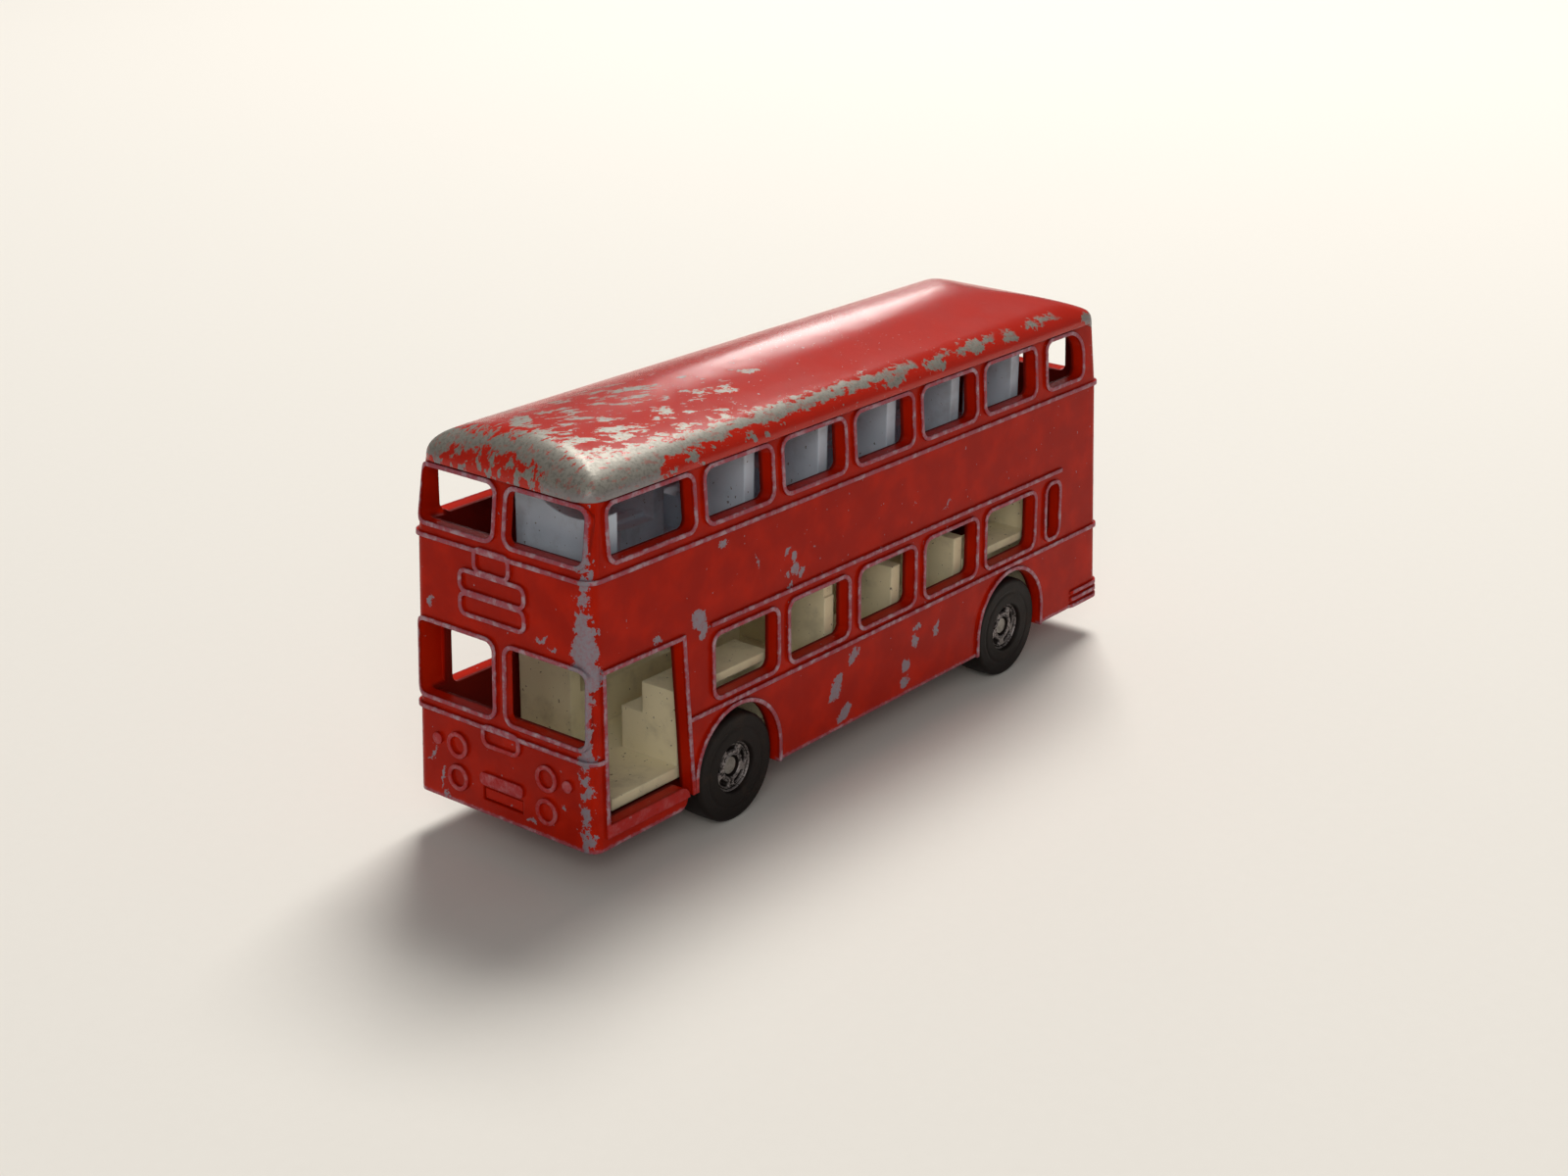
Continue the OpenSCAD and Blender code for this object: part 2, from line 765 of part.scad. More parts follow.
// Post of the shell that passes through the base plate and is spread under it
module rivet_post() {
    translate([rivet_x, 0, rivet_seat_z - base_gap - rivet_head_t])
        cylinder(d = rivet_head_d, h = rivet_head_t);
    translate([rivet_x, 0, rivet_seat_z - base_gap - rivet_head_t])
        cylinder(d = rivet_d, h = rivet_top - rivet_seat_z + base_gap + rivet_head_t);
    translate([rear_x(base_top) + wall / 2, -rivet_d / 4, base_top + base_gap])
        cube([rivet_x - rear_x(base_top) - wall / 2, rivet_d / 2, rivet_top - base_top - base_gap]);
}

module body_shell() {
    color(paint_red) {
        difference() {
            union() {
                panels(0, skirt_z, corner_r);
                roof(0, roof_corner_r);
                raised_trim();
            }
            panels(-wall, skirt_z - over, 0);
            roof(-wall, 0);
            windows(0, 2 * wall, over);
            front_recesses();
            for (side = [0, 1]) mirror([0, side, 0])
                on_side(2 * wall, over)
                    for (x = [front_axle_x, rear_axle_x])
                        arch(x, 0);
            on_side(2 * wall, over)
                difference() {
                    doorway(0);
                    sill();
                }
            along_x(base_front, front_end + over)
                rect([-tab_w / 2 - base_gap, slot_z], [tab_w / 2 + base_gap, slot_z + slot_h]);
        }
        rivet_post();
    }
}

// Two bearings on one axle line
module bearings(x) {
    for (side = [0, 1]) mirror([0, side, 0])
        translate([x - bearing_len / 2, bearing_out - bearing_w, base_z])
            cube([bearing_len, bearing_w, bearing_top - base_z]);
}

// Outline of the base plate, drawn in at the wheels
module base_outline() {
    difference() {
        rect([base_rear, -base_half], [base_front, base_half]);
        for (x = [front_axle_x, rear_axle_x], side = [-1, 1])
            translate([x, side * body_w / 2])
                square([2 * box_len, body_w - 2 * waist_half], center = true);
    }
}

module base_plate() {
    color(paint_red) difference() {
        union() {
            translate([0, 0, base_z])
                linear_extrude(base_t)
                    base_outline();
            for (x = [front_axle_x, rear_axle_x])
                bearings(x);
            translate([base_front - 2 * tab_t, -tab_w / 2, base_z])
                cube([2 * tab_t, tab_w, tab_z + tab_t - base_z]);
            translate([base_front - tab_t, -tab_w / 2, tab_z])
                cube([skirt_front - base_front + tab_t - base_gap, tab_w, tab_t]);
            for (x = [low_deck_rear, -pad_w / 2, low_deck_front - pad_w])
                translate([x, -aisle_half, base_z])
                    cube([pad_w, aisle_w, low_deck_z - base_z]);
        }
        for (x = [front_axle_x, rear_axle_x])
            translate([x, 0, axle_z])
                rotate([90, 0, 0])
                    cylinder(r = axle_d / 2 + run_gap, h = body_w, center = true);
        translate([rivet_x, 0, base_z - over])
            cylinder(r = rivet_d / 2 + base_gap, h = base_t + 2 * over);
        translate([rivet_x, 0, base_z - over])
            cylinder(r = rivet_head_d / 2 + base_gap, h = rivet_seat_z - base_z + over);
    }
}

// A wheel box with the step beside it, from floor_z up and out to side; grow is its wall's
// share over the hollow
module wheel_box(x, grow, floor_z, side) {
    along_x(x - box_len - grow, x + box_len + grow) {
        rect([aisle_half + box_wall - grow, floor_z], [side, step_top - box_wall + grow]);
        rect([aisle_half + step_w + box_wall - grow, floor_z], [side, box_top - box_wall + grow]);
    }
}

// One seat for two: a cushion and a back, with the back's rear face at x
module seat(x, deck, side_half, rise) {
    translate([x, aisle_half, deck])
        cube([back_t, side_half - aisle_half, rise]);
    translate([x + back_t, aisle_half, deck])
        cube([cushion_len, side_half - aisle_half, cushion_h]);
    translate([x + back_t, aisle_half + seat_step, deck])
        cube([cushion_len, seat_step, cushion_h + seat_step / 3]);
}

module lower_deck() {
    color(cream) difference() {
        union() {
            translate([low_deck_rear, -low_half, low_deck_z])
                cube([low_deck_front - low_deck_rear, 2 * low_half, deck_t]);
            for (side = [0, 1]) mirror([0, side, 0]) {
                for (x = [front_axle_x, rear_axle_x])
                    wheel_box(x, box_wall, low_deck_z, box_half);
                for (i = [1:row_last - 1])
                    seat(low_row_x - i * window_pitch - low_window_w / 2, low_deck_z, box_half,
                        deck_t + cushion_h + low_back_h);
                for (x = [low_row_x - window_pitch - low_window_w / 2, rear_axle_x - box_len - box_wall])
                    translate([x, aisle_half, low_deck_z])
                        cube([back_t, up_half - aisle_half, up_deck_z - low_deck_z]);
            }
            translate([front_axle_x + box_len + box_wall, -up_half, low_deck_z])
                cube([back_t, up_half - aisle_half, up_deck_z - low_deck_z]);
        }
        for (side = [0, 1]) mirror([0, side, 0])
            for (x = [front_axle_x, rear_axle_x])
                wheel_box(x, 0, low_deck_z - over, box_half + over);
    }
}

// Stair screen across the front of the upper deck, with a hollow in its top edge
module stair_screen() {
    along_x(screen_x - screen_t, screen_x)
        difference() {
            rect([up_seat_half - screen_w, up_deck_z], [up_seat_half, up_hi - seat_step]);
            translate([up_seat_half - screen_w / 3, up_hi + screen_dip_r - 2 * seat_step])
                circle(screen_dip_r);
        }
}

module upper_deck() {
    color(cream) {
        translate([up_deck_rear, -up_half, up_deck_z])
            cube([up_deck_front - up_deck_rear, 2 * up_half, deck_t]);
        for (side = [0, 1]) mirror([0, side, 0])
            for (i = [0:row_last])
                seat(up_row_x - i * window_pitch - up_window_w / 2, up_deck_z, up_seat_half,
                    deck_t + cushion_h + back_h);
        stair_screen();
    }
}

// Wire axle with a head at each end
module axle(x) {
    color(steel)
        translate([x, 0, axle_z])
            rotate([90, 0, 0]) {
                cylinder(d = axle_d, h = 2 * (head_seat + head_play), center = true);
                for (side = [0, 1]) mirror([0, 0, side])
                    translate([0, 0, head_seat + head_play])
                        cylinder(d = head_d, h = head_t);
            }
}

module front_axle() {
    axle(front_axle_x);
}

module rear_axle() {
    axle(rear_axle_x);
}

// Half section of a wheel in (radius, distance from the middle of the bus)
module wheel_section() {
    difference() {
        union() {
            rect([0, wheel_back + tyre_edge_r], [axle_z, wheel_face - tyre_edge_r]);
            rect([0, wheel_back], [axle_z - tyre_edge_r, wheel_face]);
            for (y = [wheel_back + tyre_edge_r, wheel_face - tyre_edge_r])
                translate([axle_z - tyre_edge_r, y])
                    circle(tyre_edge_r);
        }
        rect([0, hub_face], [hub_d / 2, wheel_face + over]);
        rect([0, head_seat], [head_seat_d / 2, wheel_face + over]);
        rect([0, 0], [axle_d / 2 + run_gap, wheel_face + over]);
    }
}

// Wheel on the left side: one moulding, with round pockets in its dished hub
module wheel(x) {
    color(tyre_black)
        translate([x, 0, axle_z])
            rotate([-90, 0, 0])
                difference() {
                    rotate_extrude()
                        wheel_section();
                    for (i = [0:slot_count - 1])
                        rotate([0, 0, 360 / slot_count * i])
                            translate([slot_ring_d / 2, 0, hub_face - slot_depth])
                                cylinder(d = slot_d, h = slot_depth + over);
                }
}

module wheel_front_left() {
    wheel(front_axle_x);
}

module wheel_front_right() {
    mirror([0, 1, 0])
        wheel(front_axle_x);
}

module wheel_rear_left() {
    wheel(rear_axle_x);
}

module wheel_rear_right() {
    mirror([0, 1, 0])
        wheel(rear_axle_x);
}

body_shell();
base_plate();
lower_deck();
upper_deck();
front_axle();
rear_axle();
wheel_front_left();
wheel_front_right();
wheel_rear_left();
wheel_rear_right();
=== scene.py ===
"""A worn die-cast double-deck toy bus in a plain studio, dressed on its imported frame.

Lengths are millimetres in the size classes and metres in the meshes. +X is forward, +Y the door
side, +Z up.
"""

import json
import logging
from dataclasses import dataclass, field
from enum import Enum
from math import radians
from typing import Any, Mapping, Sequence, Union

import bmesh
import bpy
import numpy as np
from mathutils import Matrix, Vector

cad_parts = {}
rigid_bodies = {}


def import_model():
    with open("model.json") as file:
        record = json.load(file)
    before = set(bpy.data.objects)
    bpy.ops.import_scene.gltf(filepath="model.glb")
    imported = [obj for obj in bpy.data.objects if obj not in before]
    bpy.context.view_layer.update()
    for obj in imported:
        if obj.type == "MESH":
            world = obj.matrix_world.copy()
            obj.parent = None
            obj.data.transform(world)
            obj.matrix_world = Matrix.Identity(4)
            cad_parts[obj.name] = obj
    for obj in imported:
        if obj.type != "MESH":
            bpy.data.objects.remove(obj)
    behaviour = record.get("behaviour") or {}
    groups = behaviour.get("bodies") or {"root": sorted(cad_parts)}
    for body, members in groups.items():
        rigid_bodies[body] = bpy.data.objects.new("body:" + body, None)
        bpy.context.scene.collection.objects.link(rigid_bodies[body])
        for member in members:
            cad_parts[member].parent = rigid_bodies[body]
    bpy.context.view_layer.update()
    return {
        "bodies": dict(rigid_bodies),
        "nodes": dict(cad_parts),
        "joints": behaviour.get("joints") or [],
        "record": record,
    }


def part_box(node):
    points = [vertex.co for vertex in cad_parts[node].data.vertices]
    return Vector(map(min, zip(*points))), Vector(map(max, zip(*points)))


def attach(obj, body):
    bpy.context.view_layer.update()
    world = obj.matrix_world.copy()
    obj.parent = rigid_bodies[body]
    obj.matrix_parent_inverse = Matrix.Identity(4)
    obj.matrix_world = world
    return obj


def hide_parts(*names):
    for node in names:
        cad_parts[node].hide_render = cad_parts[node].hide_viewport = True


LOG = logging.getLogger("bus")
MM = 0.001
HUB = "hub"
FRONT_AXLE_X = 19.9
REAR_AXLE_X = -21.4
Colour = tuple[float, float, float]
Point = tuple[float, float, float]
Operand = Union["Value", float]
ORIGIN: Point = (0.0, 0.0, 0.0)


class Slot(Enum):
    """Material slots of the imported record."""

    PAINT = "red_paint"
    CREAM = "cream_plastic"
    STEEL = "axle_steel"
    BLACK = "black_plastic"


class Side(Enum):
    """Which way a wheel's outer face points along Y."""

    LEFT = 1
    RIGHT = -1


def linear(red: int, green: int, blue: int) -> Colour:
    """Turn display colour steps into scene light.

    Args:
        red: Red step from 0 to 255.
        green: Green step from 0 to 255.
        blue: Blue step from 0 to 255.

    Returns:
        The linear colour.
    """
    steps = np.array([red, green, blue]) / 255.0
    light = np.where(steps <= 0.04045, steps / 12.92, ((steps + 0.055) / 1.055) ** 2.4)
    return float(light[0]), float(light[1]), float(light[2])


class Value:
    """A shader socket that can be added, multiplied and compared like a number."""

    def __init__(self, graph: "Graph", socket: bpy.types.NodeSocket) -> None:
        """Wrap a socket.

        Args:
            graph: The graph that owns the socket.
            socket: An output socket.
        """
        self.graph = graph
        self.socket = socket

    def math(self, operation: str, *others: Operand) -> "Value":
        """Join this socket and others through one math node.

        Args:
            operation: The math node's operation.
            others: Further operands.

        Returns:
            The node's result.
        """
        inputs = dict(enumerate((self, *others)))
        return self.graph.node("ShaderNodeMath", {"operation": operation}, inputs).out(0)

    def __add__(self, other: Operand) -> "Value":
        """Return the sum."""
        return self.math("ADD", other)

    def __radd__(self, other: Operand) -> "Value":
        """Return the sum."""
        return self.math("ADD", other)

    def __sub__(self, other: Operand) -> "Value":
        """Return the difference."""
        return self.math("SUBTRACT", other)

    def __rsub__(self, other: Operand) -> "Value":
        """Return the difference the other way round."""
        return (self * -1.0) + other

    def __mul__(self, other: Operand) -> "Value":
        """Return the product."""
        return self.math("MULTIPLY", other)

    def __rmul__(self, other: Operand) -> "Value":
        """Return the product."""
        return self.math("MULTIPLY", other)

    def __truediv__(self, other: Operand) -> "Value":
        """Return the quotient."""
        return self.math("DIVIDE", other)

    def least(self, other: Operand) -> "Value":
        """Return the smaller of two values.

        Args:
            other: The value to compare with.

        Returns:
            The smaller one.
        """
        return self.math("MINIMUM", other)

    def most(self, other: Operand) -> "Value":
        """Return the larger of two values.

        Args:
            other: The value to compare with.

        Returns:
            The larger one.
        """
        return self.math("MAXIMUM", other)

    def rise(self, low: float, high: float) -> "Value":
        """Step softly from 0 to 1, or from 1 to 0 where low lies above high.

        Args:
            low: Where the step is 0.
            high: Where the step is 1.

        Returns:
            The step.
        """
        if low > high:
            return 1.0 - self.rise(high, low)
        settings = {"interpolation_type": "SMOOTHSTEP"}
        return self.graph.node("ShaderNodeMapRange", settings, {0: self, 1: low, 2: high}).out(0)

    def hat(self, middle: float, reach: float) -> "Value":
        """Return 1 at a middle, falling to 0 a reach away on either side.

        Args:
            middle: Where the hat peaks.
            reach: How far it spreads.

        Returns:
            The hat.
        """
        return (self - middle).math("ABSOLUTE").rise(reach, 0.0)


class Shader:
    """One node of a graph."""

    def __init__(self, graph: "Graph", node: bpy.types.Node) -> None:
        """Wrap a node.

        Args:
            graph: The graph that owns it.
            node: The node.
        """
        self.graph = graph
        self.raw = node

    def out(self, key: Union[int, str]) -> Value:
        """Return one of the node's outputs.

        Args:
            key: The output's index or name.

        Returns:
            The output as a value.
        """
        return Value(self.graph, self.raw.outputs[key])


class Graph:
    """A material's node graph, built from code."""

    def __init__(self, name: str) -> None:
        """Start an empty material.

        Args:
            name: The material's name.
        """
        self.material = bpy.data.materials.new(name)
        self.material.use_nodes = True
        self.tree = self.material.node_tree
        self.tree.nodes.clear()

    def node(self, kind: str, settings: Mapping[str, Any], inputs: Mapping[Any, Any]) -> Shader:
        """Add a node, set it up and link or fill its inputs.

        Args:
            kind: The node's type.
            settings: Attributes to set on it.
            inputs: Input index or name to a value, number or tuple.

        Returns:
            The node.
        """
        raw = self.tree.nodes.new(kind)
        for key, setting in settings.items():
            setattr(raw, key, setting)
        for key, given in inputs.items():
            if isinstance(given, Value):
                self.tree.links.new(given.socket, raw.inputs[key])
            else:
                raw.inputs[key].default_value = given
        return Shader(self, raw)

    def place(self) -> Value:
        """Return the surface point in millimetres of the row frame."""
        point = self.node("ShaderNodeTexCoord", {}, {}).out("Object")
        return self.vector("SCALE", {0: point, "Scale": 1.0 / MM})

    def vector(self, operation: str, inputs: Mapping[Any, Any]) -> Value:
        """Return the result of one vector math node.

        Args:
            operation: The node's operation.
            inputs: Its inputs.

        Returns:
            The resulting vector.
        """
        return self.node("ShaderNodeVectorMath", {"operation": operation}, inputs).out(0)

    def split(self, vector: Value) -> tuple[Value, Value, Value]:
        """Return a vector's three parts.

        Args:
            vector: The vector.

        Returns:
            Its X, Y and Z.
        """
        parts = self.node("ShaderNodeSeparateXYZ", {}, {0: vector})
        return parts.out(0), parts.out(1), parts.out(2)

    def noise(self, vector: Value, scale: float, detail: float = 3.0, rough: float = 0.55) -> Value:
        """Return fractal noise from 0 to 1.

        Args:
            vector: Where to read it.
            scale: Waves per unit of the vector.
            detail: Octaves.
            rough: Strength of the finer octaves.

        Returns:
            The noise.
        """
        inputs = {"Vector": vector, "Scale": scale, "Detail": detail, "Roughness": rough}
        return self.node("ShaderNodeTexNoise", {}, inputs).out(0)

    def stretched(self, vector: Value, centre: Point, turn: Point, size: Point) -> Value:
        """Move, turn and scale a vector so that an ellipsoid becomes the unit ball.

        Args:
            vector: The vector.
            centre: The ellipsoid's centre.
            turn: Its turn about X, Y and Z in degrees.
            size: Its half axes.

        Returns:
            The vector in the ellipsoid's own frame.
        """
        angles = tuple(radians(angle) for angle in turn)
        inputs = {"Vector": vector, "Location": centre, "Rotation": angles, "Scale": size}
        return self.node("ShaderNodeMapping", {"vector_type": "TEXTURE"}, inputs).out(0)

    def length(self, vector: Value) -> Value:
        """Return a vector's length.

        Args:
            vector: The vector.

        Returns:
            Its length.
        """
        return self.node("ShaderNodeVectorMath", {"operation": "LENGTH"}, {0: vector}).out("Value")

    def jitter(self, vector: Value, scale: float, reach: float) -> Value:
        """Push a vector about by coloured noise.

        Args:
            vector: The vector.
            scale: Waves per unit.
            reach: How far it is pushed.

        Returns:
            The ragged vector.
        """
        inputs = {"Vector": vector, "Scale": scale, "Detail": 3.0, "Roughness": 0.6}
        push = self.node("ShaderNodeTexNoise", {}, inputs).out(1)
        middle = self.vector("SUBTRACT", {0: push, 1: (0.5, 0.5, 0.5)})
        moved = self.vector("SCALE", {0: middle, "Scale": 2.0 * reach})
        return self.vector("ADD", {0: vector, 1: moved})

    def blend(self, share: Operand, first: Any, second: Any) -> Value:
        """Mix two colours.

        Args:
            share: How much of the second shows.
            first: A colour or a value.
            second: A colour or a value.

        Returns:
            The mixed colour.
        """
        pair = [given if isinstance(given, Value) else (*given, 1.0) for given in (first, second)]
        settings = {"data_type": "RGBA"}
        return self.node("ShaderNodeMix", settings, {0: share, 6: pair[0], 7: pair[1]}).out(2)

    def bump(self, height: Value, depth: float, soften: float = 0.0) -> Value:
        """Return a normal bent by a height, over edges that are rounded off.

        Args:
            height: The height in millimetres.
            depth: Strength from 0 to 1.
            soften: Radius of the rounded edges in millimetres.

        Returns:
            The normal.
        """
        inputs: dict[str, Any] = {"Strength": depth, "Distance": MM, "Height": height}
        if soften > 0.0:
            rounded = self.node("ShaderNodeBevel", {"samples": 6}, {"Radius": soften * MM})
            inputs["Normal"] = rounded.out(0)
        return self.node("ShaderNodeBump", {}, inputs).out(0)

    def finish(self, inputs: Mapping[str, Any]) -> bpy.types.Material:
        """Close the graph with a principled shader.

        Args:
            inputs: The shader's inputs by name.

        Returns:
            The material.
        """
        surface = self.node("ShaderNodeBsdfPrincipled", {}, inputs).out(0)
        self.node("ShaderNodeOutputMaterial", {}, {0: surface})
        return self.material


@dataclass(frozen=True)
class Chip:
    """A flake of paint that is gone, as an ellipsoid on the casting."""

    centre: Point
    size: Point
    turn: Point = ORIGIN


@dataclass(frozen=True)
class Casting:
    """Sizes of the painted shell that its wear follows."""

    skirt_z: float = 3.6
    up_belt_z: float = 26.4
    gutter_z: float = 32.5
    half_w: float = 10.05
    side_lean: float = 0.42
    skirt_front: float = 37.773
    front_lean: float = 0.42
    skirt_rear: float = -37.75
    rear_lean: float = 1.45
    band_lean: float = 0.45
    brow_lean: float = 0.7
    corner_r: float = 1.1
    roof_half: float = 9.43
    roof_front: float = 36.9
    roof_rear: float = -36.1
    roof_corner_r: float = 2.0


SIDE_CHIPS: tuple[Chip, ...] = (
    Chip((24.6, 9.6, 19.7), (0.95, 1.0, 0.95)),
    Chip((24.1, 9.6, 18.6), (0.5, 1.0, 0.75)),
    Chip((12.9, 9.6, 22.3), (0.5, 1.0, 0.3)),
    Chip((12.2, 9.6, 21.6), (0.35, 1.0, 0.4)),
    Chip((12.0, 9.6, 20.6), (0.5, 1.0, 0.45)),
    Chip((13.0, 9.6, 20.2), (0.35, 1.0, 0.3)),
    Chip((11.2, 9.6, 19.9), (0.4, 1.0, 0.35)),
    Chip((12.6, 9.6, 19.2), (0.3, 1.0, 0.25)),
    Chip((6.3, 9.9, 7.7), (0.62, 1.0, 1.4), (0.0, -32.0, 0.0)),
    Chip((5.1, 9.9, 4.8), (0.5, 1.0, 1.2), (0.0, -58.0, 0.0)),
    Chip((3.6, 9.9, 10.0), (0.9, 1.0, 0.55), (0.0, 30.0, 0.0)),
    Chip((-5.6, 9.9, 8.5), (0.6, 1.0, 0.5)),
    Chip((-6.0, 9.9, 9.7), (0.45, 1.0, 0.25)),
    Chip((-9.1, 9.9, 8.4), (0.45, 1.0, 0.75), (0.0, -25.0, 0.0)),
    Chip((-4.4, 9.9, 6.5), (0.7, 1.0, 0.55)),
    Chip((-4.1, 9.9, 4.9), (0.55, 1.0, 0.5)),
    Chip((21.6, 9.6, 25.4), (0.4, 1.0, 0.22)),
    Chip((29.8, 9.7, 19.5), (0.6, 1.0, 0.3)),
    Chip((17.1, 9.6, 22.6), (0.1, 1.0, 1.0), (0.0, 12.0, 0.0)),
    Chip((-10.5, 9.6, 20.4), (0.9, 1.0, 0.07), (0.0, 24.0, 0.0)),
)

FRONT_CHIPS: tuple[Chip, ...] = (
    Chip((37.4, -7.8, 20.8), (1.0, 0.4, 0.35)),
    Chip((37.4, 4.6, 20.6), (1.0, 0.7, 0.2), (25.0, 0.0, 0.0)),
    Chip((37.4, 5.7, 20.2), (1.0, 0.4, 0.18)),
    Chip((37.7, 3.2, 4.6), (1.0, 0.3, 0.25)),
    Chip((37.7, -8.0, 7.2), (1.0, 0.12, 1.0), (-42.0, 0.0, 0.0)),
    Chip((37.7, -7.0, 5.4), (1.0, 0.11, 1.3), (-14.0, 0.0, 0.0)),
    Chip((37.7, -6.5, 4.1), (1.0, 0.1, 0.6), (-30.0, 0.0, 0.0)),
    Chip((37.7, 6.8, 6.8), (1.0, 0.3, 0.2)),
)

ROOF_CHIPS: tuple[Chip, ...] = (
    Chip((36.0, 8.4, 34.0), (2.9, 2.5, 2.3)),
    Chip((36.0, -8.4, 34.2), (2.2, 2.6, 1.4)),
    Chip((20.3, -1.1, 36.0), (2.3, 0.55, 2.0), (0.0, 0.0, -25.0)),
    Chip((22.5, 4.2, 35.8), (0.8, 0.6, 2.0)),
    Chip((23.4, 6.4, 35.5), (0.7, 0.4, 2.0)),
    Chip((17.1, 3.2, 35.9), (0.6, 0.35, 2.0)),
    Chip((14.6, 4.3, 35.8), (1.1, 0.4, 2.0), (0.0, 0.0, -20.0)),
    Chip((9.5, 2.5, 36.0), (1.1, 0.45, 2.0), (0.0, 0.0, -20.0)),
    Chip((29.0, 5.6, 35.5), (0.9, 0.6, 2.0)),
    Chip((33.0, 4.1, 35.5), (0.9, 0.5, 2.0)),
    Chip((32.4, -2.0, 35.8), (1.4, 0.8, 2.0), (0.0, 0.0, 30.0)),
    Chip((-2.6, 8.8, 33.6), (1.5, 1.0, 0.5)),
    Chip((-8.9, 8.8, 33.7), (1.7, 1.0, 0.5)),
    Chip((-15.5, 8.7, 34.0), (1.2, 1.0, 0.7)),
    Chip((-21.0, 8.7, 33.7), (1.3, 1.0, 0.5)),
    Chip((-25.0, 8.5, 34.1), (0.7, 1.0, 0.4)),
    Chip((-35.0, 9.0, 32.6), (0.9, 1.2, 1.1)),
    Chip((-33.9, 9.3, 33.0), (0.9, 0.8, 0.5)),
    Chip((-35.9, 5.5, 32.9), (0.5, 2.4, 0.7)),
)


@dataclass(frozen=True)
class RedPaint:
    """Gloss red paint on a zinc casting, worn off its crests, corners and roof."""

    casting: Casting = field(default_factory=Casting)
    red: Colour = linear(182, 28, 2)
    deep: Colour = linear(160, 20, 2)
    zinc: Colour = linear(146, 142, 132)
    dark_zinc: Colour = linear(88, 82, 76)
    cold_zinc: Colour = linear(138, 130, 138)
    # The worn crests' mauve: thin red paint over zinc, with a painted reflection of the red around it
    crest: Colour = linear(150, 84, 96)
    pale_crest: Colour = linear(170, 148, 158)
    # A dark red for painted shade on the casting's inside, and for the darker broad patches on the walls
    shade_and_grime: Colour = linear(38, 8, 8)
    gloss: float = 0.22
    wall_shine: float = 0.05
    roof_shine: float = 0.24
    corner_x: float = 37.7
    corner_y: float = 9.1
    flare_top: float = 25.4
    flare_full: float = 18.4
    pillar_top: tuple[float, float] = (17.3, 17.8)
    lamp_top: tuple[float, float] = (11.2, 10.4)
    sill_in: tuple[float, float] = (8.0, 9.0)
    sill_end: tuple[float, float] = (24.0, 25.0)
    sill_top: tuple[float, float] = (6.2, 5.8)
    lip_z: tuple[float, float] = (33.6, 32.8)

    def outline(self, along: Value, across: Value, corner: float) -> Value:
        """Return the signed distance to a rounded rectangle, negative inside it.

        Args:
            along: How far a point lies beyond the nearer end.
            across: How far it lies beyond the nearer side.
            corner: The corners' radius.

        Returns:
            The distance.
        """
        ends = along + corner
        sides = across + corner
        outside = (ends.most(0.0) * ends.most(0.0) + sides.most(0.0) * sides.most(0.0)).math("SQRT")
        return outside + ends.most(sides).least(0.0) - corner

    def height(self, x: Value, y: Value, z: Value) -> Value:
        """Return how far a point stands out of the leaning walls.

        The walls are a rounded rectangle that shrinks linearly with height, with a second slope above
        the upper belt: the result is 0 on the wall, positive on a bead and negative inside.

        Args:
            x: Forward millimetres.
            y: Sideways millimetres.
            z: Upward millimetres.

        Returns:
            The height in millimetres.
        """
        size = self.casting
        lean = ((z - size.skirt_z) / (size.up_belt_z - size.skirt_z)).least(1.0)
        band = ((z - size.up_belt_z) / (size.gutter_z - size.up_belt_z)).most(0.0)
        side = y.math("ABSOLUTE") - size.half_w + lean * size.side_lean + band * size.band_lean
        front = x - size.skirt_front + lean * size.front_lean + band * size.brow_lean
        rear = size.skirt_rear - x + lean * size.rear_lean + band * size.band_lean
        return self.outline(front.most(rear), side, size.corner_r)

    def chips(self, graph: Graph, point: Value, chips: Sequence[Chip]) -> Value:
        """Return 1 in the chips and 0 outside them.

        Args:
            graph: The material's graph.
            point: The ragged surface point.
            chips: The chips.

        Returns:
            The mask, from the smallest of the chips' own distances.
        """
        aways = [graph.length(graph.stretched(point, chip.centre, chip.turn, chip.size)) for chip in chips]
        nearest = aways[0]
        for away in aways[1:]:
            nearest = nearest.least(away)
        return nearest.rise(1.04, 0.96)

    def grain(self, graph: Graph, point: Value) -> Value:
        """Return the fine grain of the paint.

        Args:
            graph: The material's graph.
            point: The surface point.

        Returns:
            Noise from 0 to 1.
        """
        return graph.noise(point, 3.4, 4.0, 0.65)

    def ragged(self, graph: Graph, point: Value) -> Value:
        """Return a surface point with torn outlines, large and small.

        Args:
            graph: The material's graph.
            point: The surface point.

        Returns:
            The point pushed about by two noises.
        """
        return graph.jitter(graph.jitter(point, 1.1, 0.9), 4.0, 0.4)

    def finish(
        self, graph: Graph, point: Value, tone: Value, worn: Value, rough: Value, shine: float
    ) -> bpy.types.Material:
        """Close the paint's graph.

        Args:
            graph: The material's graph.
            point: The surface point.
            tone: The colour.
            worn: How bare the metal is.
            rough: The roughness.
            shine: How strongly the paint mirrors.

        Returns:
            The material.
        """
        level = self.grain(graph, point) * 0.03 + graph.noise(point, 0.25, 2.0) * 0.1
        return graph.finish({
            "Base Color": tone,
            "Roughness": rough,
            "Metallic": worn * 0.42,
            "Coat Weight": (1.0 - worn) * shine * 0.4,
            "Coat Roughness": 0.12,
            "Specular IOR Level": shine,
            "Normal": graph.bump(level, 0.5, 0.14),
        })

    def walls(self) -> bpy.types.Material:
        """Make the paint of the walls and the base: worn crests, corner, chips and painted shade on the
        inside.

        Returns:
            The material.
        """
        size = self.casting
        graph = Graph("worn_red_paint")
        point = graph.place()
        x, y, z = graph.split(point)
        torn = self.ragged(graph, point)
        height = self.height(x, y, z)
        fine = self.grain(graph, point)
        broad = graph.noise(point, 0.3, 3.0)
        patchy = graph.noise(point, 0.9, 4.0, 0.7)

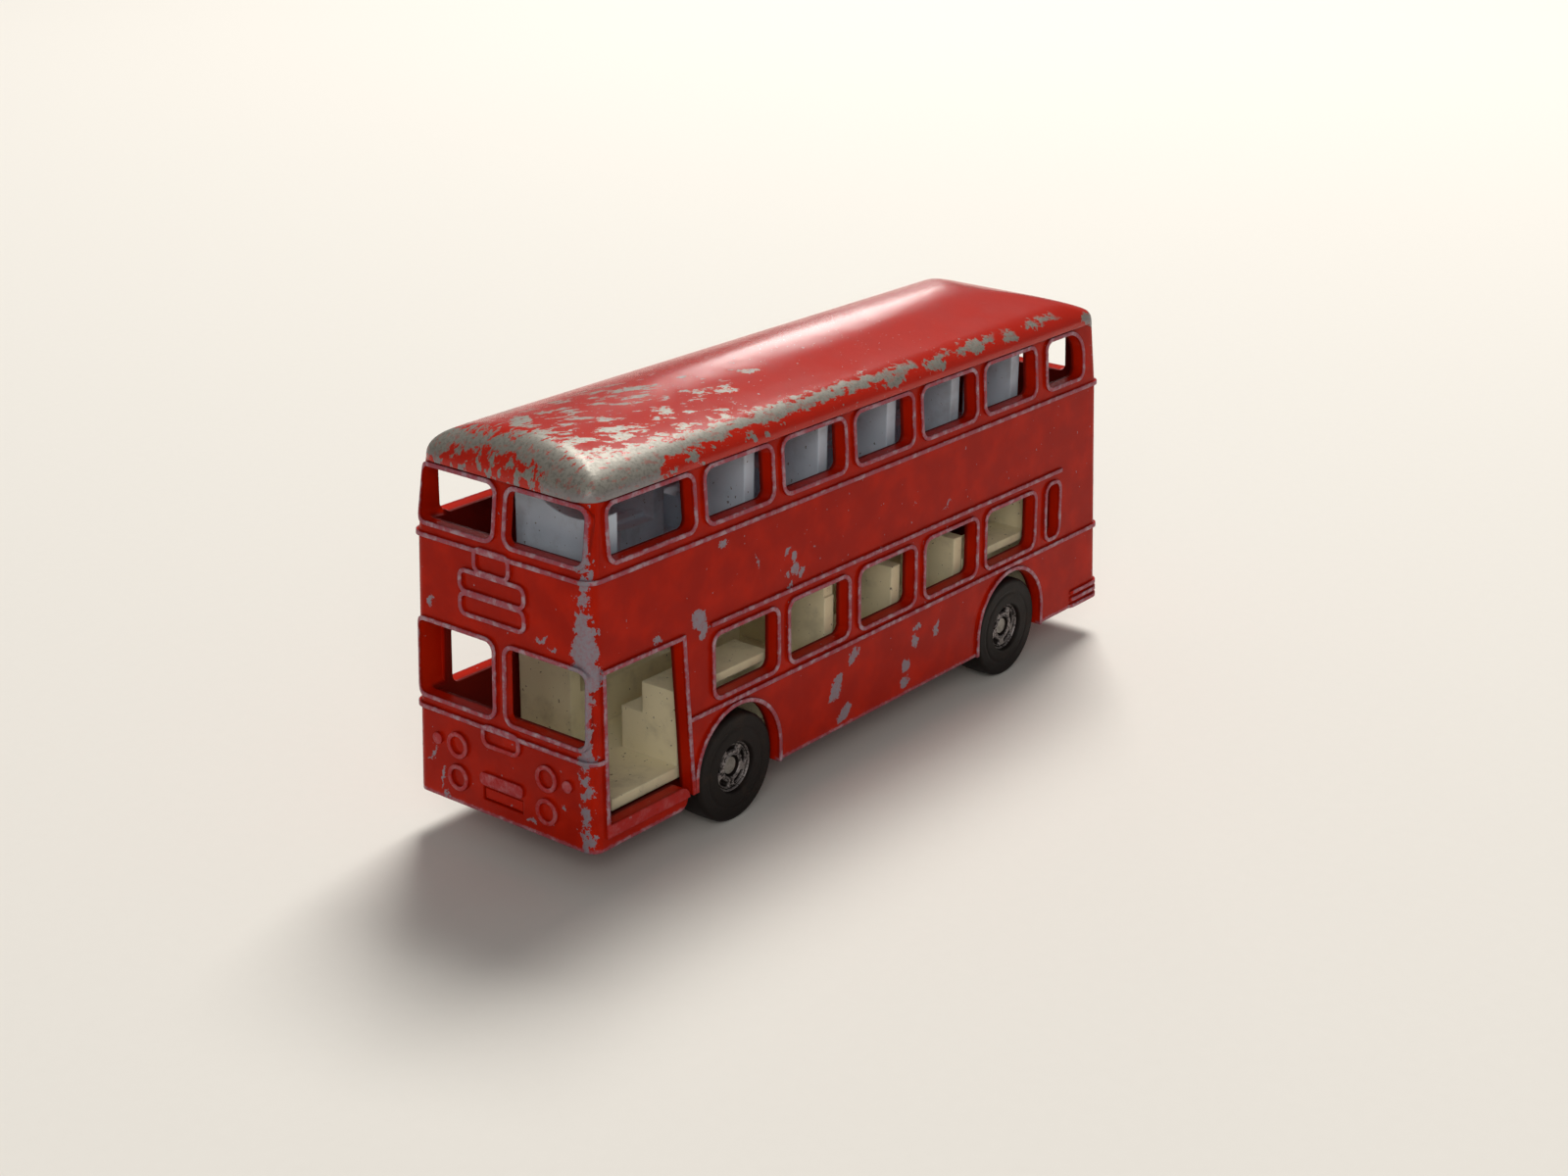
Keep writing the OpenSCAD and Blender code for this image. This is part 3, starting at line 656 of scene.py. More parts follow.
        # Crests of beads, belts and frames, and the skirt's lower edge
        uneven = height + (fine - 0.5) * 0.2 + (patchy - 0.5) * 0.2
        crest = uneven.rise(0.14, 0.24) * height.rise(0.7, 0.5)
        lamps = x.rise(size.skirt_front - 1.2, size.skirt_front - 0.9) * z.rise(*self.lamp_top)
        crest = crest * (1.0 - lamps * 0.6)
        hem = (z - size.skirt_z + (fine - 0.5) * 0.5).rise(0.4, 0.16) * height.hat(0.0, 0.5)
        sill = y.rise(*self.sill_in) * x.rise(*self.sill_end) * z.rise(*self.sill_top)
        crest = (crest * (1.0 - sill * 0.8)).most(hem * 0.8)

        # The front corner, the flakes and a few specks
        post = (self.corner_x, self.corner_y, 0.0)
        to_edge = graph.length(graph.stretched(torn, post, ORIGIN, (1.0, 1.0, 1000.0)))
        flare = z.rise(self.flare_top, self.flare_full) * z.rise(*self.pillar_top)
        edge_w = 0.35 + z.rise(9.0, 12.0) * 0.3 + flare * 0.9 + (patchy - 0.5) * 3.0
        edge = (to_edge - edge_w).rise(0.06, -0.06)
        flakes = self.chips(graph, torn, SIDE_CHIPS + FRONT_CHIPS)
        specks = graph.noise(point, 1.9, 2.0, 0.5).rise(0.74, 0.755)
        elsewhere = patchy.rise(0.73, 0.74) * (y * -1.0).rise(0.0, 4.0)
        bare = edge.most(flakes).most(specks * 0.8).most(elsewhere) * height.rise(-0.5, -0.3)

        # Colours from the paint up
        inside = height.rise(-0.7, -1.05)
        tone = graph.blend(broad.rise(0.3, 0.7) * 0.5, self.red, self.deep)
        # Darker in broad patches on the walls, most along the beads' feet
        tone = graph.blend(height.hat(0.06, 0.1) * broad.rise(0.25, 0.6) * 0.5, tone, self.shade_and_grime)
        # Painted shade: the casting's inside is blended 70 % towards the dark red
        tone = graph.blend(inside * 0.7, tone, self.shade_and_grime)
        # Worn crests: thin paint over zinc, tinted mauve partly by a painted reflection of the surrounding
        # red
        crest_wear_and_reflection = graph.blend(patchy.rise(0.45, 0.66), self.crest, self.pale_crest)
        tone = graph.blend(crest * (fine.rise(0.25, 0.6) * 0.3 + 0.65), tone, crest_wear_and_reflection)
        # Bare metal on the walls is mixed up to half way with the same mauve, partly a painted red
        # reflection
        metal = graph.blend(fine.rise(0.4, 0.7) * 0.5, self.cold_zinc, self.crest)
        tone = graph.blend(bare, tone, metal)
        worn = bare.most(crest * 0.7)
        rough = self.gloss + worn * 0.24 + (broad - 0.5) * 0.12 + (fine - 0.5) * 0.08 + inside * 0.3
        return self.finish(graph, point, tone, worn, rough, self.wall_shine)

    def roof(self) -> bpy.types.Material:
        """Make the paint of the roof: bare along its rolled edges and front corners, flaked behind.

        Returns:
            The material.
        """
        size = self.casting
        graph = Graph("worn_roof_paint")
        point = graph.place()
        x, y, z = graph.split(point)
        torn = self.ragged(graph, point)
        fine = self.grain(graph, point)
        broad = graph.noise(point, 0.3, 3.0)
        flaky_point = graph.stretched(point, ORIGIN, (0.0, 0.0, -12.0), (1.5, 0.8, 1.0))
        flaky = graph.noise(flaky_point, 0.95, 6.0, 0.75)
        leaf_point = graph.stretched(point, ORIGIN, (0.0, 0.0, -24.0), (1.7, 0.6, 1.0))
        leaves = graph.noise(leaf_point, 0.8, 4.0, 0.62)
        ends = (x - size.roof_front).most(size.roof_rear - x)
        inset = self.outline(ends, y.math("ABSOLUTE") - size.roof_half, size.roof_corner_r) * -1.0
        behind = (x * -1.0) + size.roof_front

        # A ragged line between the crown and the gutter, wide at the front and broken towards the tail
        near = y.rise(-2.0, 2.0) * 0.35 + 0.65
        reach = (0.95 + x.rise(-24.0, 24.0) * 0.75 + x.rise(20.0, 35.0) * 1.3) * near
        corner = y.rise(3.0, 7.5) * x.rise(27.0, 33.0)
        below = (inset - 0.62 + corner * 2.4 + (flaky - 0.5) * 2.6).rise(-0.06, 0.06)
        line = (inset - reach + (0.5 - flaky) * 6.0).rise(0.1, -0.1) * below
        whole = graph.noise(point, 0.2, 2.0) + x.rise(-30.0, 14.0) * 0.4 - (1.0 - near) * 0.3
        line = line * whole.rise(0.5, 0.58)

        # Leaf-shaped flakes that thin out behind the front
        need = 0.535 + behind.rise(2.0, 16.0) * 0.04 + behind.rise(14.0, 36.0) * 0.18
        leaf = (leaves - need).rise(-0.004, 0.006)
        crumbs = graph.noise(point, 2.2, 3.0, 0.6).rise(0.685, 0.695) * behind.rise(60.0, 20.0)
        bare = line.most(leaf).most(crumbs).most(self.chips(graph, torn, ROOF_CHIPS))
        islands = graph.stretched(point, ORIGIN, (0.0, 0.0, -12.0), (1.6, 0.7, 0.7))
        kept = graph.noise(islands, 1.7, 3.0, 0.6).rise(0.57, 0.6)
        bare = bare * (1.0 - kept * (inset.rise(1.0, 1.8) * 0.6 + 0.3))

        tone = graph.blend(broad.rise(0.3, 0.7) * 0.3, self.red, self.deep)
        metal = graph.blend(fine.rise(0.42, 0.72) * 0.55, self.zinc, self.dark_zinc)
        metal = graph.blend(z.rise(*self.lip_z) * 0.5, metal, self.cold_zinc)
        tone = graph.blend(bare, tone, metal)
        rough = self.gloss + bare * 0.24 + (broad - 0.5) * 0.1 + (fine - 0.5) * 0.08
        return self.finish(graph, point, tone, bare, rough, self.roof_shine)


@dataclass(frozen=True)
class CreamPlastic:
    """Moulded cream plastic with dust, specks and grubby patches, with a painted bluish tint of window
    light on the upper deck.
    """

    warm: Colour = linear(232, 222, 184)
    # Painted light: a bluish tint for the window light on the upper deck, over the same cream plastic
    window_light_tint: Colour = linear(208, 222, 234)
    dirt: Colour = linear(84, 72, 52)
    deck_z: float = 19.4

    def build(self) -> bpy.types.Material:
        """Make the material.

        Returns:
            The plastic.
        """
        graph = Graph("aged_cream_plastic")
        point = graph.place()
        z = graph.split(point)[2]
        broad = graph.noise(point, 0.35, 4.0, 0.6)
        specks = graph.noise(point, 2.6, 2.0, 0.5).rise(0.69, 0.74)
        fine = graph.noise(point, 6.0, 3.0)
        # Painted light: above the deck height the cream turns to the bluish window-light tint
        tone = graph.blend(z.rise(self.deck_z - 1.0, self.deck_z + 0.5), self.warm, self.window_light_tint)
        tone = graph.blend(broad.rise(0.48, 0.78) * 0.3, tone, self.dirt)
        tone = graph.blend(specks * 0.8, tone, self.dirt)
        return graph.finish({
            "Base Color": tone,
            "Roughness": 0.46 + broad * 0.2,
            "Normal": graph.bump(fine * 0.02, 0.4, 0.22),
        })


@dataclass(frozen=True)
class AxleSteel:
    """Bright wire dulled by brown dust."""

    steel: Colour = linear(150, 146, 140)
    dust: Colour = linear(70, 56, 44)

    def build(self) -> bpy.types.Material:
        """Make the material.

        Returns:
            The steel.
        """
        graph = Graph("dull_axle_steel")
        point = graph.place()
        broad = graph.noise(point, 1.1, 4.0, 0.65)
        rings = graph.noise(graph.stretched(point, ORIGIN, ORIGIN, (1.0, 0.12, 1.0)), 1.5, 2.0)
        tone = graph.blend(broad.rise(0.4, 0.7) * 0.6, self.steel, self.dust)
        return graph.finish({
            "Base Color": tone,
            "Metallic": 0.9 - broad.rise(0.4, 0.7) * 0.5,
            "Roughness": 0.3 + broad * 0.3,
            "Normal": graph.bump(rings * 0.03, 0.4),
        })


@dataclass(frozen=True)
class WheelPlastic:
    """Brown-black tyre plastic with a rubbed silver hub print that follows the hub attribute."""

    tyre: Colour = linear(24, 17, 14)
    dust: Colour = linear(56, 42, 32)
    silver: Colour = linear(152, 144, 142)

    def build(self) -> bpy.types.Material:
        """Make the material.

        Returns:
            The wheel plastic.
        """
        graph = Graph("dusty_black_plastic")
        point = graph.place()
        hub = graph.node("ShaderNodeAttribute", {"attribute_name": HUB}, {}).out("Fac")
        broad = graph.noise(point, 0.7, 4.0, 0.65)
        fine = graph.noise(point, 5.0, 3.0)
        shown = hub.rise(0.35, 0.65) * (fine + broad * 0.5).rise(0.57, 0.83)
        tone = graph.blend(broad.rise(0.5, 0.75) * 0.4, self.tyre, self.dust)
        tone = graph.blend(shown * 0.92, tone, self.silver)
        return graph.finish({
            "Base Color": tone,
            "Metallic": shown * 0.75,
            "Roughness": 0.5 - shown * 0.14 + broad * 0.16,
            "Specular IOR Level": 0.2,
            "Normal": graph.bump(fine * 0.03 + broad * 0.05, 0.45),
        })


@dataclass(frozen=True)
class PaleFloor:
    """Plain pale paper with a faint tooth."""

    paper: Colour = linear(226, 222, 214)

    def build(self) -> bpy.types.Material:
        """Make the material.

        Returns:
            The paper.
        """
        graph = Graph("pale_paper")
        point = graph.place()
        tooth = graph.noise(point, 0.9, 3.0)
        tone = graph.blend(tooth * 0.06, self.paper, linear(196, 190, 182))
        return graph.finish({
            "Base Color": tone,
            "Roughness": 0.8 + tooth * 0.1,
            "Normal": graph.bump(tooth * 0.03, 0.2),
        })


def sheet_faces(index: np.ndarray) -> np.ndarray:
    """Return the quads of a grid of points.

    Args:
        index: Point numbers, by row and column.

    Returns:
        Corner indices, one quad a row.
    """
    corners = [index[:-1, :-1], index[1:, :-1], index[1:, 1:], index[:-1, 1:]]
    return np.stack(corners, axis=-1).reshape(-1, 4)


def make_object(name: str, points: np.ndarray, faces: np.ndarray) -> bpy.types.Object:
    """Make a mesh object from whole arrays.

    Args:
        name: The object's name.
        points: Points in metres, one row each.
        faces: Corner indices, one face a row.

    Returns:
        The linked object.
    """
    mesh = bpy.data.meshes.new(name)
    mesh.from_pydata(points.tolist(), [], faces.tolist())
    mesh.polygons.foreach_set("use_smooth", np.ones(len(mesh.polygons), dtype=bool))
    mesh.update()
    thing = bpy.data.objects.new(name, mesh)
    bpy.context.scene.collection.objects.link(thing)
    return thing


class Assembly:
    """A sub-assembly whose finish goes on after its build."""

    slot: Slot

    def dress(self, piece: bpy.types.Object, material: bpy.types.Material) -> None:
        """Put the finish on.

        Args:
            piece: The piece.
            material: Its material.
        """
        piece.data.materials.append(material)


@dataclass
class CadPiece(Assembly):
    """A sub-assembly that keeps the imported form, merged, with its edges softened and its finish on."""

    node: str
    body: str
    slot: Slot
    sharp_deg: float = 28.0

    def build(self, frame: Mapping[str, Any]) -> bpy.types.Object:
        """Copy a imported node's triangles with their shared corners merged.

        Args:
            frame: The loaded frame.

        Returns:
            The new piece, in the node's place.
        """
        source = frame["nodes"][self.node].data
        points = np.zeros(len(source.vertices) * 3)
        source.vertices.foreach_get("co", points)
        corners = np.zeros(len(source.loops), dtype=np.int64)
        source.loops.foreach_get("vertex_index", corners)
        grid = np.round(points.reshape(-1, 3) / MM, 4)
        merged, index = np.unique(grid, axis=0, return_inverse=True)
        faces = index.ravel()[corners].reshape(-1, 3)
        whole = (faces != np.roll(faces, 1, axis=1)).all(axis=1)
        piece = make_object("piece_" + self.node, merged * MM, faces[whole])
        self.trim(piece.data)
        piece.data.set_sharp_from_angle(angle=radians(self.sharp_deg))
        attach(piece, self.body)
        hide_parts(self.node)
        return piece

    def trim(self, mesh: bpy.types.Mesh) -> None:
        """Leave the form as it is.

        Args:
            mesh: The merged mesh.
        """


@dataclass
class Shell(CadPiece):
    """The painted casting up to its gutter, open where the roof takes over."""

    casting: Casting = field(default_factory=Casting)
    bead_h: float = 0.25
    gutter_z: float = 32.51
    slope_high: tuple[float, float] = (-33.6, 32.95)
    slope_low: tuple[float, float] = (-36.1, 31.35)

    def trim(self, mesh: bpy.types.Mesh) -> None:
        """Cut along the gutter and down a slope at the tail, and take away what lies above.

        Args:
            mesh: The merged mesh.
        """
        self.tuck(mesh)
        work = bmesh.new()
        work.from_mesh(mesh)
        run = self.slope_high[0] - self.slope_low[0]
        drop = self.slope_high[1] - self.slope_low[1]
        gutter = (Vector((0.0, 0.0, self.gutter_z * MM)), Vector((0.0, 0.0, 1.0)))
        low = Vector((self.slope_low[0] * MM, 0.0, self.slope_low[1] * MM))
        slope = (low, Vector((-drop, 0.0, run)).normalized())
        for place, normal in (gutter, slope):
            everything = work.verts[:] + work.edges[:] + work.faces[:]
            bmesh.ops.bisect_plane(work, geom=everything, dist=1e-8, plane_co=place, plane_no=normal)
        centres = np.array([face.calc_center_median() for face in work.faces])
        gone = np.zeros(len(centres), dtype=bool)
        for place, normal in (gutter, slope):
            gone |= (centres - np.array(place)) @ np.array(normal) > 0.0
        doomed = [face for face, above in zip(work.faces[:], gone) if above]
        bmesh.ops.delete(work, geom=doomed, context="FACES")
        bmesh.ops.triangulate(work, faces=work.faces[:])
        work.to_mesh(mesh)
        work.free()

    def tuck(self, mesh: bpy.types.Mesh) -> None:
        """Draw in the beads that overhang the round front corners.

        The walls' outline shrinks linearly with height. A point that stands more than a bead's height
        out of its round corner moves back along the corner's own radius.

        Args:
            mesh: The merged mesh.
        """
        size = self.casting
        points = np.empty(3 * len(mesh.vertices))
        mesh.vertices.foreach_get("co", points)
        x, y, z = points.reshape(-1, 3).T / MM
        lean = np.clip((z - size.skirt_z) / (size.up_belt_z - size.skirt_z), 0.0, 1.0)
        band = np.maximum((z - size.up_belt_z) / (size.gutter_z - size.up_belt_z), 0.0)
        middle_x = size.skirt_front - lean * size.front_lean - band * size.brow_lean - size.corner_r
        middle_y = size.half_w - lean * size.side_lean - band * size.band_lean - size.corner_r
        ahead, beside = np.maximum(x - middle_x, 0.0), np.maximum(np.abs(y) - middle_y, 0.0)
        reach = np.hypot(ahead, beside)
        round_part = (ahead > 0.0) & (beside > 0.0) & (z < self.gutter_z)
        allowed = (size.corner_r + self.bead_h) / np.maximum(reach, 1e-6)
        share = np.where(round_part, np.minimum(allowed, 1.0), 1.0)
        x = x - ahead * (1.0 - share)
        y = y - np.sign(y) * beside * (1.0 - share)
        mesh.vertices.foreach_set("co", (np.stack([x, y, z], axis=-1) * MM).ravel())


@dataclass
class Roof(Assembly):
    """The casting's roof: crowned, rolled over its edges, drooping at the tail."""

    body: str = "chassis"
    slot: Slot = Slot.PAINT
    half_w: float = 9.43
    front: float = 36.9
    rear: float = -36.1
    gutter_z: float = 32.5
    rise: float = 3.6
    corner_r: float = 2.0
    side_roll: float = 2.4
    front_roll: float = 3.7
    side_power: float = 2.6
    front_power: float = 2.1
    crown_r: float = 22.5
    tail_x: float = -23.5
    tail_z: float = 8.2
    tail_r: float = 28.0
    tail_corner_r: float = 1.9
    edge_x: float = -33.79
    edge_z: float = 31.75
    edge_r: float = 2.3
    dip_x: float = -33.6
    dip: float = 1.6
    blend_x: tuple[float, float] = (-34.5, -29.0)
    blend_w: tuple[float, float] = (0.9, 0.25)
    sharp_deg: float = 50.0
    wall: float = 1.2
    along: int = 220
    across: int = 120

    def height(self, x: np.ndarray, y: np.ndarray) -> np.ndarray:
        """Return the roof's outer height over the plan.

        A crowned height is scaled by a rolled edge, a power curve of the distance to the plan's outline
        whose width grows from the sides to the front. Towards the tail a soft minimum with the falling
        side view takes over.

        Args:
            x: Forward millimetres.
            y: Sideways millimetres.

        Returns:
            Heights in millimetres.
        """
        to_front = np.maximum(self.front - x, 0.0)
        to_side = np.maximum(self.half_w - np.abs(y), 0.0)
        ahead = self.corner_r - to_front
        beside = self.corner_r - to_side
        outside = np.hypot(np.maximum(ahead, 0.0), np.maximum(beside, 0.0))
        inset = self.corner_r - outside - np.minimum(np.maximum(ahead, beside), 0.0)
        inset = np.maximum(np.minimum(inset, self.width(x) - np.abs(y)), 0.0)
        frontness = to_side**2 / (to_front**2 + to_side**2 + 1e-6)
        roll = self.side_roll + (self.front_roll - self.side_roll) * frontness
        power = self.side_power + (self.front_power - self.side_power) * frontness
        rest = 1.0 - np.minimum(inset / roll, 1.0)
        edge = (1.0 - rest**power) ** (1.0 / power)
        foot = self.foot(x)
        crown = self.gutter_z + self.rise - y**2 / (2.0 * self.crown_r)
        rolled = foot + (crown - foot) * edge
        fall = np.maximum(self.fall(x), foot)
        blend = np.interp(x, self.blend_x, self.blend_w)
        soft = np.maximum(blend - np.abs(rolled - fall), 0.0) ** 2 / (4.0 * blend)
        return np.maximum(np.minimum(rolled, fall) - soft, foot)

    def fall(self, x: np.ndarray) -> np.ndarray:
        """Return the roof's side view: level, then a long arc down to a tight round edge at the tail.

        Args:
            x: Forward millimetres.

        Returns:
            Heights in millimetres.
        """
        share = self.tail_r / (self.tail_r - self.edge_r)
        meet_x = self.tail_x + (self.edge_x - self.tail_x) * share
        arc = self.tail_z + np.sqrt(self.tail_r**2 - np.minimum(x - self.tail_x, 0.0) ** 2)
        past_edge = np.minimum(x - self.edge_x, 0.0)
        tight = self.edge_z + np.sqrt(np.maximum(self.edge_r**2 - past_edge**2, 0.0))
        return np.where(x < meet_x, tight, arc)

    def foot(self, x: np.ndarray) -> np.ndarray:
        """Return the height of the roof's rim: level, dipping along a parabola round the tail's corners.

        Args:
            x: Forward millimetres.

        Returns:
            Heights in millimetres.
        """
        share = np.clip((self.dip_x - x) / (self.dip_x - self.rear), 0.0, 1.0)
        return self.gutter_z - self.dip * share**2

    def width(self, x: np.ndarray) -> np.ndarray:
        """Return the plan's half width, which ends in round corners.

        Args:
            x: Forward millimetres.

        Returns:
            Half widths in millimetres.
        """
        wide = np.full_like(x, self.half_w)
        for gap, r in ((self.front - x, self.corner_r), (x - self.rear, self.tail_corner_r)):
            near = np.clip(r - gap, 0.0, r)
            wide = np.minimum(wide, self.half_w - r + np.sqrt(r**2 - near**2))
        return wide

    def build(self) -> bpy.types.Object:
        """Make the roof as a closed lid of two grids joined round their rims.

        Rows run from tail to front and columns across, both crowded towards the rolled edges by a sine.
        The first row hangs below the tail's edge, and the inner grid is the outer one drawn in by the
        wall.

        Returns:
            The roof in its place.
        """
        middle, half = (self.front + self.rear) / 2, (self.front - self.rear) / 2
        v = np.sin(np.linspace(-np.pi / 2, np.pi / 2, self.across))
        run = middle + half * np.sin(np.linspace(-np.pi / 2, np.pi / 2, self.along))
        run = np.concatenate([run[:1], run])
        x = np.repeat(run[:, None], self.across, axis=1)
        y = self.width(run)[:, None] * v[None, :]
        z = self.height(x, y)
        z[0] = self.foot(x[0])
        shrink_x = 1.0 - 2 * self.wall / (self.front - self.rear)
        shrink_y = 1.0 - self.wall / self.half_w
        share = 1.0 - self.wall / self.rise
        outer = np.stack([x, y, z], axis=-1).reshape(-1, 3)
        inner_z = self.foot(x) + (z - self.foot(x)) * share
        inner_x = middle + (x - middle) * shrink_x
        inner = np.stack([inner_x, y * shrink_y, inner_z], axis=-1).reshape(-1, 3)
        index = np.arange(x.size).reshape(x.shape)
        sheet = sheet_faces(index)
        loop = np.concatenate([index[:-1, 0], index[-1, :-1], index[:0:-1, -1], index[0, :0:-1]])
        ahead_of = np.roll(loop, -1)
        under = len(outer)
        rim = np.stack([ahead_of, loop, loop + under, ahead_of + under], axis=-1)
        faces = np.concatenate([sheet, sheet[:, ::-1] + under, rim])
        piece = make_object("piece_roof", np.concatenate([outer, inner]) * MM, faces)
        piece.data.set_sharp_from_angle(angle=radians(self.sharp_deg))
        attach(piece, self.body)
        return piece


@dataclass(frozen=True)
class Line:
    """A raised or sunk line on a face: where it runs, how wide it is and how far it stands out."""

    at: float
    spread: float
    rise: float

    def shape(self, where: np.ndarray) -> np.ndarray:
        """Return a bell curve that is 1 on the line.

        Args:
            where: Places across the line, in millimetres.

        Returns:
            The curve.
        """
        return np.exp(-(((where - self.at) / self.spread) ** 2))


@dataclass
class Wheel(Assembly):
    """A moulded wheel: crowned tyre, sunk hub with a rim line, five oblong slots and an open centre."""

    node: str
    body: str
    side: Side
    axle_x: float
    slot: Slot = Slot.BLACK
    axle_z: float = 4.85
    back: float = 6.5
    face: float = 9.8
    hub_face: float = 9.3
    head_seat: float = 8.6
    radius: float = 4.85
    edge_r: float = 0.4
    hub_r: float = 2.3
    centre_r: float = 0.95
    bore_r: float = 0.55
    slots: int = 5
    slot_in: float = 1.42
    slot_out: float = 1.86
    slot_half_deg: float = 23.0
    slot_depth: float = 0.5
    slot_corner_r: float = 0.16
    slot_soft: float = 0.022
    slot_turn: float = 0.3
    back_ring_r: float = 3.0
    crown: float = 0.03
    bevel: float = 0.05
    wall_line: Line = Line(3.5, 0.14, -0.07)
    groove: Line = Line(2.04, 0.045, -0.12)
    rim: Line = Line(2.17, 0.06, 0.16)
    ring: Line = Line(1.07, 0.07, 0.09)
    lip: Line = Line(0.07, 0.04, 0.05)
    plain_print: float = 0.72
    around: int = 200

    def profile(self) -> tuple[np.ndarray, np.ndarray]:
        """Return the closed profile, from the bore's inner end round the tyre to the hub and back.

        Returns:
            Radii and offsets along the axle, in millimetres.
        """
        arc = np.linspace(0.0, np.pi / 2, 7)
        inner = self.radius - self.edge_r
        tread = np.linspace(0, np.pi, 12)[1:-1]
        tread_at = np.linspace(self.back + self.edge_r, self.face - self.edge_r, 12)[1:-1]
        side_wall = np.linspace(inner, self.hub_r + 0.12, 26)[1:]
        spans = (
            (np.linspace(self.bore_r, self.back_ring_r, 6)[:-1], np.full(5, self.back)),
            (np.linspace(self.back_ring_r, inner, 5)[:-1], np.full(4, self.back)),
            (inner + self.edge_r * np.sin(arc), self.back + self.edge_r * (1 - np.cos(arc))),
            (self.radius + self.crown * np.sin(tread), tread_at),
            (inner + self.edge_r * np.cos(arc), self.face - self.edge_r * (1 - np.sin(arc))),
            (side_wall, self.face + self.wall_line.rise * self.wall_line.shape(side_wall)),
            (np.array([self.hub_r + self.bevel, self.hub_r, self.hub_r - 0.02]),
             np.array([self.face - 0.03, self.face - 0.1, self.hub_face + 0.12])),
            (np.linspace(self.hub_r - 0.04, self.centre_r + 0.02, 60), np.full(60, self.hub_face)),
            (np.full(2, self.centre_r),
             np.array([self.hub_face - self.bevel, self.head_seat + self.bevel])),
            (np.array([self.centre_r - 0.04, self.bore_r + 0.04]), np.full(2, self.head_seat)),
            (np.full(2, self.bore_r),
             np.array([self.head_seat - self.bevel, self.back + self.bevel])),
        )
        return np.concatenate([span[0] for span in spans]), np.concatenate([span[1] for span in spans])

    def build(self) -> bpy.types.Object:
        """Turn the profile round the axle as one closed ring of quads.

        The hub's face is a height over radius and angle: a raised rim line inside a groove, a raised
        ring round the centre, and slots that are rounded boxes in angle and radius, sunk with soft
        walls and a low lip. Lines are bell curves of the radius. The hub attribute is highest on the
        raised print and 0 in the slots, the centre and the tyre.

        Returns:
            The wheel in its place.
        """
        low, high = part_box(self.node)
        radius, offset = self.profile()
        turn = np.linspace(0.0, 2 * np.pi, self.around, endpoint=False)
        r, angle = np.meshgrid(radius, turn, indexing="ij")
        out = np.repeat(offset[:, None], self.around, axis=1)
        on_hub = (np.abs(out - self.hub_face) < 1e-6).astype(float)
        step = 2 * np.pi / self.slots
        middle = (self.slot_in + self.slot_out) / 2
        half_wide = (self.slot_out - self.slot_in) / 2
        half_long = radians(self.slot_half_deg) * middle
        off = (np.mod(angle + self.slot_turn, step) - step / 2) * middle
        long_gap = np.maximum(np.abs(off) - half_long + self.slot_corner_r, 0)
        wide_gap = np.maximum(np.abs(r - middle) - half_wide + self.slot_corner_r, 0)
        gap = np.hypot(long_gap, wide_gap) - self.slot_corner_r
        sunk = 1.0 / (1.0 + np.exp(gap / self.slot_soft)) * on_hub
        groove = self.groove.shape(r) * on_hub
        rim = self.rim.shape(r) * on_hub
        ring = self.ring.shape(r) * on_hub
        lip = self.lip.shape(gap) * on_hub
        raised = np.maximum(np.maximum(rim, ring), lip)
        out = out - self.slot_depth * sunk + self.groove.rise * groove
        out = out + self.rim.rise * rim + self.ring.rise * ring + self.lip.rise * lip
        hub = on_hub * (1 - sunk) * (1 - 0.9 * groove)
        hub = hub * (self.plain_print + (1 - self.plain_print) * raised)
        points = np.stack([
            self.axle_x + r * np.cos(angle),
            self.side.value * out,
            self.axle_z + r * np.sin(angle),
        ], axis=-1).reshape(-1, 3) * MM
        rows, columns = len(radius), self.around
        index = np.arange(rows * columns).reshape(rows, columns)
        ahead = np.roll(index, -1, axis=0)
        corners = [index, ahead, np.roll(ahead, -1, axis=1), np.roll(index, -1, axis=1)]
        faces = np.stack(corners, axis=-1).reshape(-1, 4)
        if self.side is Side.RIGHT:
            faces = faces[:, ::-1]
        piece = make_object("piece_" + self.node, points, faces)
        layer = piece.data.attributes.new(HUB, "FLOAT", "POINT")
        layer.data.foreach_set("value", hub.ravel().astype(np.float32))
        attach(piece, self.body)
        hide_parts(self.node)
        LOG.info("%s spans %s to %s", self.node, tuple(low), tuple(high))
        return piece


@dataclass
class Lamp:
    """A soft square studio light."""

    name: str
    place: Point
    aim: Point
    size: float
    watts: float
    tint: Colour = (1.0, 1.0, 1.0)

    def build(self) -> bpy.types.Object:
        """Make the light, aimed at a point.

        Returns:
            The light.
        """
        data = bpy.data.lights.new(self.name, "AREA")
        data.shape = "SQUARE"
        data.size = self.size
        data.energy = self.watts
        data.color = self.tint
        light = bpy.data.objects.new(self.name, data)
        bpy.context.scene.collection.objects.link(light)
        light.location = self.place
        ray = Vector(self.aim) - Vector(self.place)
        light.rotation_euler = ray.to_track_quat("-Z", "Y").to_euler()
        return light


